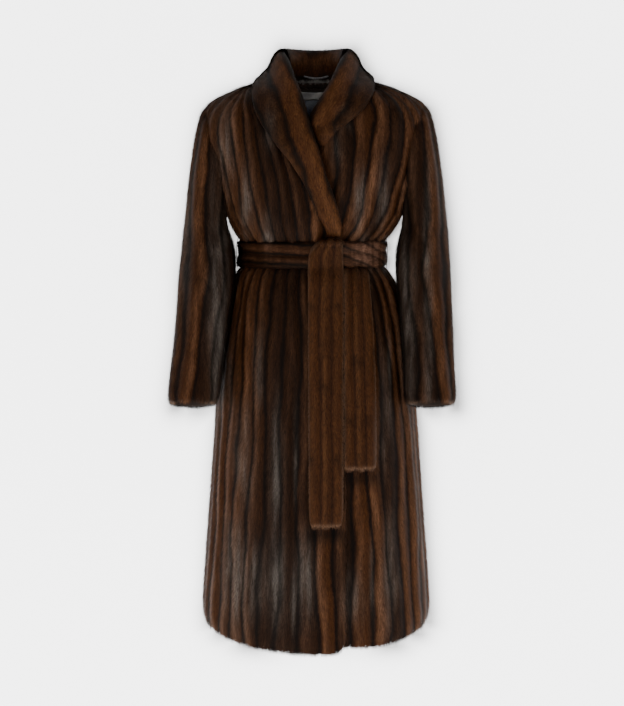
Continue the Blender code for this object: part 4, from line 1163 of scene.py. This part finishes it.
BODY_PELTS = 37
SLEEVE_PELTS = 9
HEM = -1.062
CUFF = -0.626
COAT_FUR = {"length": 0.0150, "width": 0.0015, "lift": 0.27, "scatter": 0.15}
COLLAR_FUR = {"length": 0.0085, "width": 0.0013, "lift": 0.20, "scatter": 0.14}
SHORT_FUR = {"length": 0.0105, "width": 0.0013, "lift": 0.26, "scatter": 0.18}

PANELS = (
    Skin("back", "fur", Wear.COAT, TubeLie(BODY_TUBE, BODY_PELTS, HEM, drop=0.012, behind=True),
         Fur(165000, seed=1, **COAT_FUR), (0.60, 1.12), 0.56, "hung"),
    Skin("right_front", "fur", Wear.COAT,
         TubeLie(BODY_TUBE, BODY_PELTS, HEM, drop=0.037, edge=True),
         Fur(138000, seed=2, **COAT_FUR), (0.40, 1.12), 0.335, "hung"),
    Skin("left_front", "fur", Wear.COAT,
         TubeLie(BODY_TUBE, BODY_PELTS, HEM, drop=0.037, lift=0.013),
         Fur(98000, seed=3, **COAT_FUR), (0.40, 1.10), 0.33, "hung", bare=under_lap),
    Skin("sleeve_right", "fur", Wear.COAT,
         TubeLie(SLEEVE_TUBE, SLEEVE_PELTS, CUFF, side=-1.0, top_out=0.25, rim_light=0.8),
         Fur(84000, seed=4, **COAT_FUR), (0.36, 0.62), 0.165, "hung"),
    Skin("sleeve_left", "fur", Wear.COAT,
         TubeLie(SLEEVE_TUBE, SLEEVE_PELTS, CUFF, top_out=0.25, rim_light=0.8),
         Fur(84000, seed=5, **COAT_FUR), (0.36, 0.62), 0.165, "hung"),
)
COLLAR = Skin("collar", "fur", Wear.COLLAR, collar_lie, Fur(70000, seed=6, **COLLAR_FUR),
              (0.70, 0.17), 0.100, "folded", ("back_hide", "right_front_hide", "left_front_hide"),
              ridge=0.0026, all_round=True)
BELT = (
    Skin("belt_waist", "belt_fur", Wear.BELT, BeltLie(-0.334, 0.025),
         Fur(25000, seed=7, **SHORT_FUR), (0.80, 0.062), 0.046, "gathered",
         ("right_front_hide", "left_front_hide", "back_hide"), ridge=0.0016, all_round=True),
    Skin("belt_end_long", "belt_fur", Wear.BELT_END,
         EndLie((-0.854, -0.840, -0.400, -0.330, -0.3025),
                (-0.010, -0.0125, -0.0145, -0.0125, 0.010), (0.047, 0.050, 0.0516, 0.051, 0.046),
                (-0.422, -0.566, -0.716)),
         Fur(27000, seed=8, **SHORT_FUR), (0.068, 0.56), 0.038, "hung", ("right_front_hide",),
         ridge=0.0026, all_round=True),
    Skin("belt_end_short", "belt_fur", Wear.BELT_END,
         EndLie((-0.746, -0.630, -0.480, -0.3594), (0.0545, 0.0542, 0.0538, 0.0535),
                (0.1150, 0.1155, 0.1100, 0.1000), (-0.520, -0.640)),
         Fur(19000, seed=9, **SHORT_FUR), (0.062, 0.39), 0.024, "hung", ("left_front_hide",),
         ridge=0.0026, all_round=True),
)
TRIMS = (
    Trim("back_lining", "satin", SATIN, (0.31, 0.17), "hung", ("back_hide",), 0.0006),
    Trim("label", "label", NAVY, (0.062, 0.050), "stretched", ("back_lining_trim",)),
    Trim("hanger_loop", "thread", CORD),
    Trim("belt_loop_right", "thread", THREAD),
    Trim("belt_loop_left", "thread", THREAD),
)


# The set


@dataclass
class Lamp:
    """A soft square lamp that looks at the coat's middle."""

    name: str
    place: tuple[float, float, float]
    size: float
    power: float
    target: tuple[float, float, float] = (0.0, 0.0, -0.5)

    def build(self) -> None:
        """Hangs the lamp."""
        light = bpy.data.lights.new(self.name, "AREA")
        light.size = self.size
        light.energy = self.power
        lamp = bpy.data.objects.new(self.name, light)
        bpy.context.scene.collection.objects.link(lamp)
        lamp.location = self.place
        way = Vector(self.target) - Vector(self.place)
        lamp.rotation_euler = way.to_track_quat("-Z", "Y").to_euler()


# The fine stretch of the wall that the shadow falls on, its grid, and the planes through the
# coat in which the light's way past it is judged
SHADOW_HALF_WIDTH = 0.52
SHADOW_LEVELS = (-1.48, 0.28)
SHADOW_GRID = (105, 177)
SHADOW_MARGIN = (0.02, 0.03)
SHADOW_PLANES = (-0.14, -0.09, -0.04, 0.01, 0.06, 0.11)
BEND_POINTS = 17


@dataclass
class Studio:
    """A pale wall that curves into a floor, soft light, and the camera."""

    wall: float = 0.50
    floor: float = -2.10
    reach: float = 6.0
    bend: float = 0.6
    world: float = 1.0
    shadow_from: tuple[float, float, float] = (-0.06, -3.4, -0.18)
    shadow_depth: float = 0.97  # how much of the backdrop's glow the coat's soft shadow takes
    shadow_reach: float = 0.022
    eye: tuple[float, float, float] = (-0.008, -3.4, -0.228)
    pitch: float = 5.14
    lens: float = 86.7
    lamps: tuple[Lamp, ...] = (
        Lamp("Key", (-1.6, -2.6, -0.5), 1.6, 42.0),
        Lamp("Fill", (2.2, -2.4, 0.4), 2.2, 22.0),
        Lamp("Rim left", (-2.0, 0.4, 0.9), 1.2, 8.0),
        Lamp("Rim right", (2.0, 0.4, 0.9), 1.2, 8.0),
    )

    def build(self, cover: Cover) -> None:
        """Builds the set round the pieces that cover knows."""
        self.build_backdrop(cover)
        for lamp in self.lamps:
            lamp.build()
        world = bpy.data.worlds.new("Soft light")
        world.use_nodes = True
        background = world.node_tree.nodes["Background"].inputs
        background["Color"].default_value = (1.0, 1.0, 1.0, 1.0)
        background["Strength"].default_value = self.world
        bpy.context.scene.world = world
        camera = bpy.data.objects.new("Camera", bpy.data.cameras.new("Camera"))
        bpy.context.scene.collection.objects.link(camera)
        camera.location = self.eye
        camera.rotation_euler = (math.radians(90.0 - self.pitch), 0.0, 0.0)
        camera.data.lens = self.lens
        bpy.context.scene.camera = camera

    def shadow(self, points: np.ndarray, cover: Cover) -> np.ndarray:
        """How much of the coat's soft shadow falls on each point of the backdrop.

        Args:
            points: Places on the backdrop.
            cover: The coat's pieces.

        Returns:
            The shadow, from 0 to 1, by how near the light's way to the point passes the coat.
        """
        near = (
            (np.abs(points[:, 0]) < SHADOW_HALF_WIDTH - SHADOW_MARGIN[0])
            & (points[:, 2] > SHADOW_LEVELS[0] + SHADOW_MARGIN[1])
            & (points[:, 2] < SHADOW_LEVELS[1] - SHADOW_MARGIN[1])
        )
        lamp, lit = np.array(self.shadow_from), points[near]
        passed = np.full(len(lit), np.inf)
        for y in SHADOW_PLANES:
            share = (y - lit[:, 1:2]) / (lamp[1] - lit[:, 1:2])
            passed = np.minimum(passed, cover.nearest(lit + share * (lamp - lit)))
        found = np.zeros(len(points))
        found[near] = np.exp(-((passed / self.shadow_reach) ** 1.5))
        return found

    def build_backdrop(self, cover: Cover) -> None:
        """Sweeps the floor up into the wall, with the coat's soft shadow on it."""
        arc = np.linspace(0.0, math.pi / 2, BEND_POINTS)
        out, up = np.sin(arc), 1.0 - np.cos(arc)
        bent = np.column_stack(
            (self.wall - self.bend + self.bend * out, self.floor + self.bend * up)
        )
        levels = np.linspace(*SHADOW_LEVELS, SHADOW_GRID[1])
        rising = [(self.wall, z) for z in (*levels, self.reach)]
        line = [(-self.reach, self.floor), *bent, *rising]
        fine = np.linspace(-SHADOW_HALF_WIDTH, SHADOW_HALF_WIDTH, SHADOW_GRID[0])
        columns = [-self.reach, *fine, self.reach]
        points = np.array([(x, y, z) for y, z in line for x in columns])
        wide = len(columns)
        faces = [
            (row * wide + i, row * wide + i + 1, (row + 1) * wide + i + 1, (row + 1) * wide + i)
            for row in range(len(line) - 1)
            for i in range(wide - 1)
        ]
        mesh = bpy.data.meshes.new("Backdrop")
        mesh.from_pydata(points.tolist(), [], faces)
        mesh.polygons.foreach_set("use_smooth", [True] * len(faces))
        write(mesh, "shadow", self.shadow(points, cover))
        shader = Shader("Paper")
        dark = (1.0 - self.shadow_depth,) * 3
        glow = shader.mix(shader.attribute("shadow"), (1.0, 1.0, 1.0), dark)
        constants = {
            "Base Color": (PAPER, PAPER, PAPER, 1.0),
            "Roughness": 0.9,
            "Emission Strength": PAPER_GLOW,
        }
        # From behind it is clear, so that the coat's back can be looked at
        front = 1.0 - Term(shader, shader.node("ShaderNodeNewGeometry").outputs["Backfacing"])
        mesh.materials.append(shader.finish(constants, {"Emission Color": glow, "Alpha": front}))
        link("Backdrop", mesh)


def main() -> None:
    """Builds the coat and its set."""
    logging.basicConfig(level=logging.INFO, format="%(message)s")
    for obj in list(bpy.data.objects):
        bpy.data.objects.remove(obj)
    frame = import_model()
    cover = Cover(frame["nodes"])
    tree = BladeTree()
    tree.build()
    materials = {
        wear: fur_material(f"{wear.value} fur", finish) for wear, finish in FUR_FINISHES.items()
    }
    for skin in (*PANELS, COLLAR, *BELT):
        skin.build(frame, cover, tree, materials)
    for trim in TRIMS:
        trim.build(frame)
    Studio().build(cover)


if __name__ == "__main__":
    main()
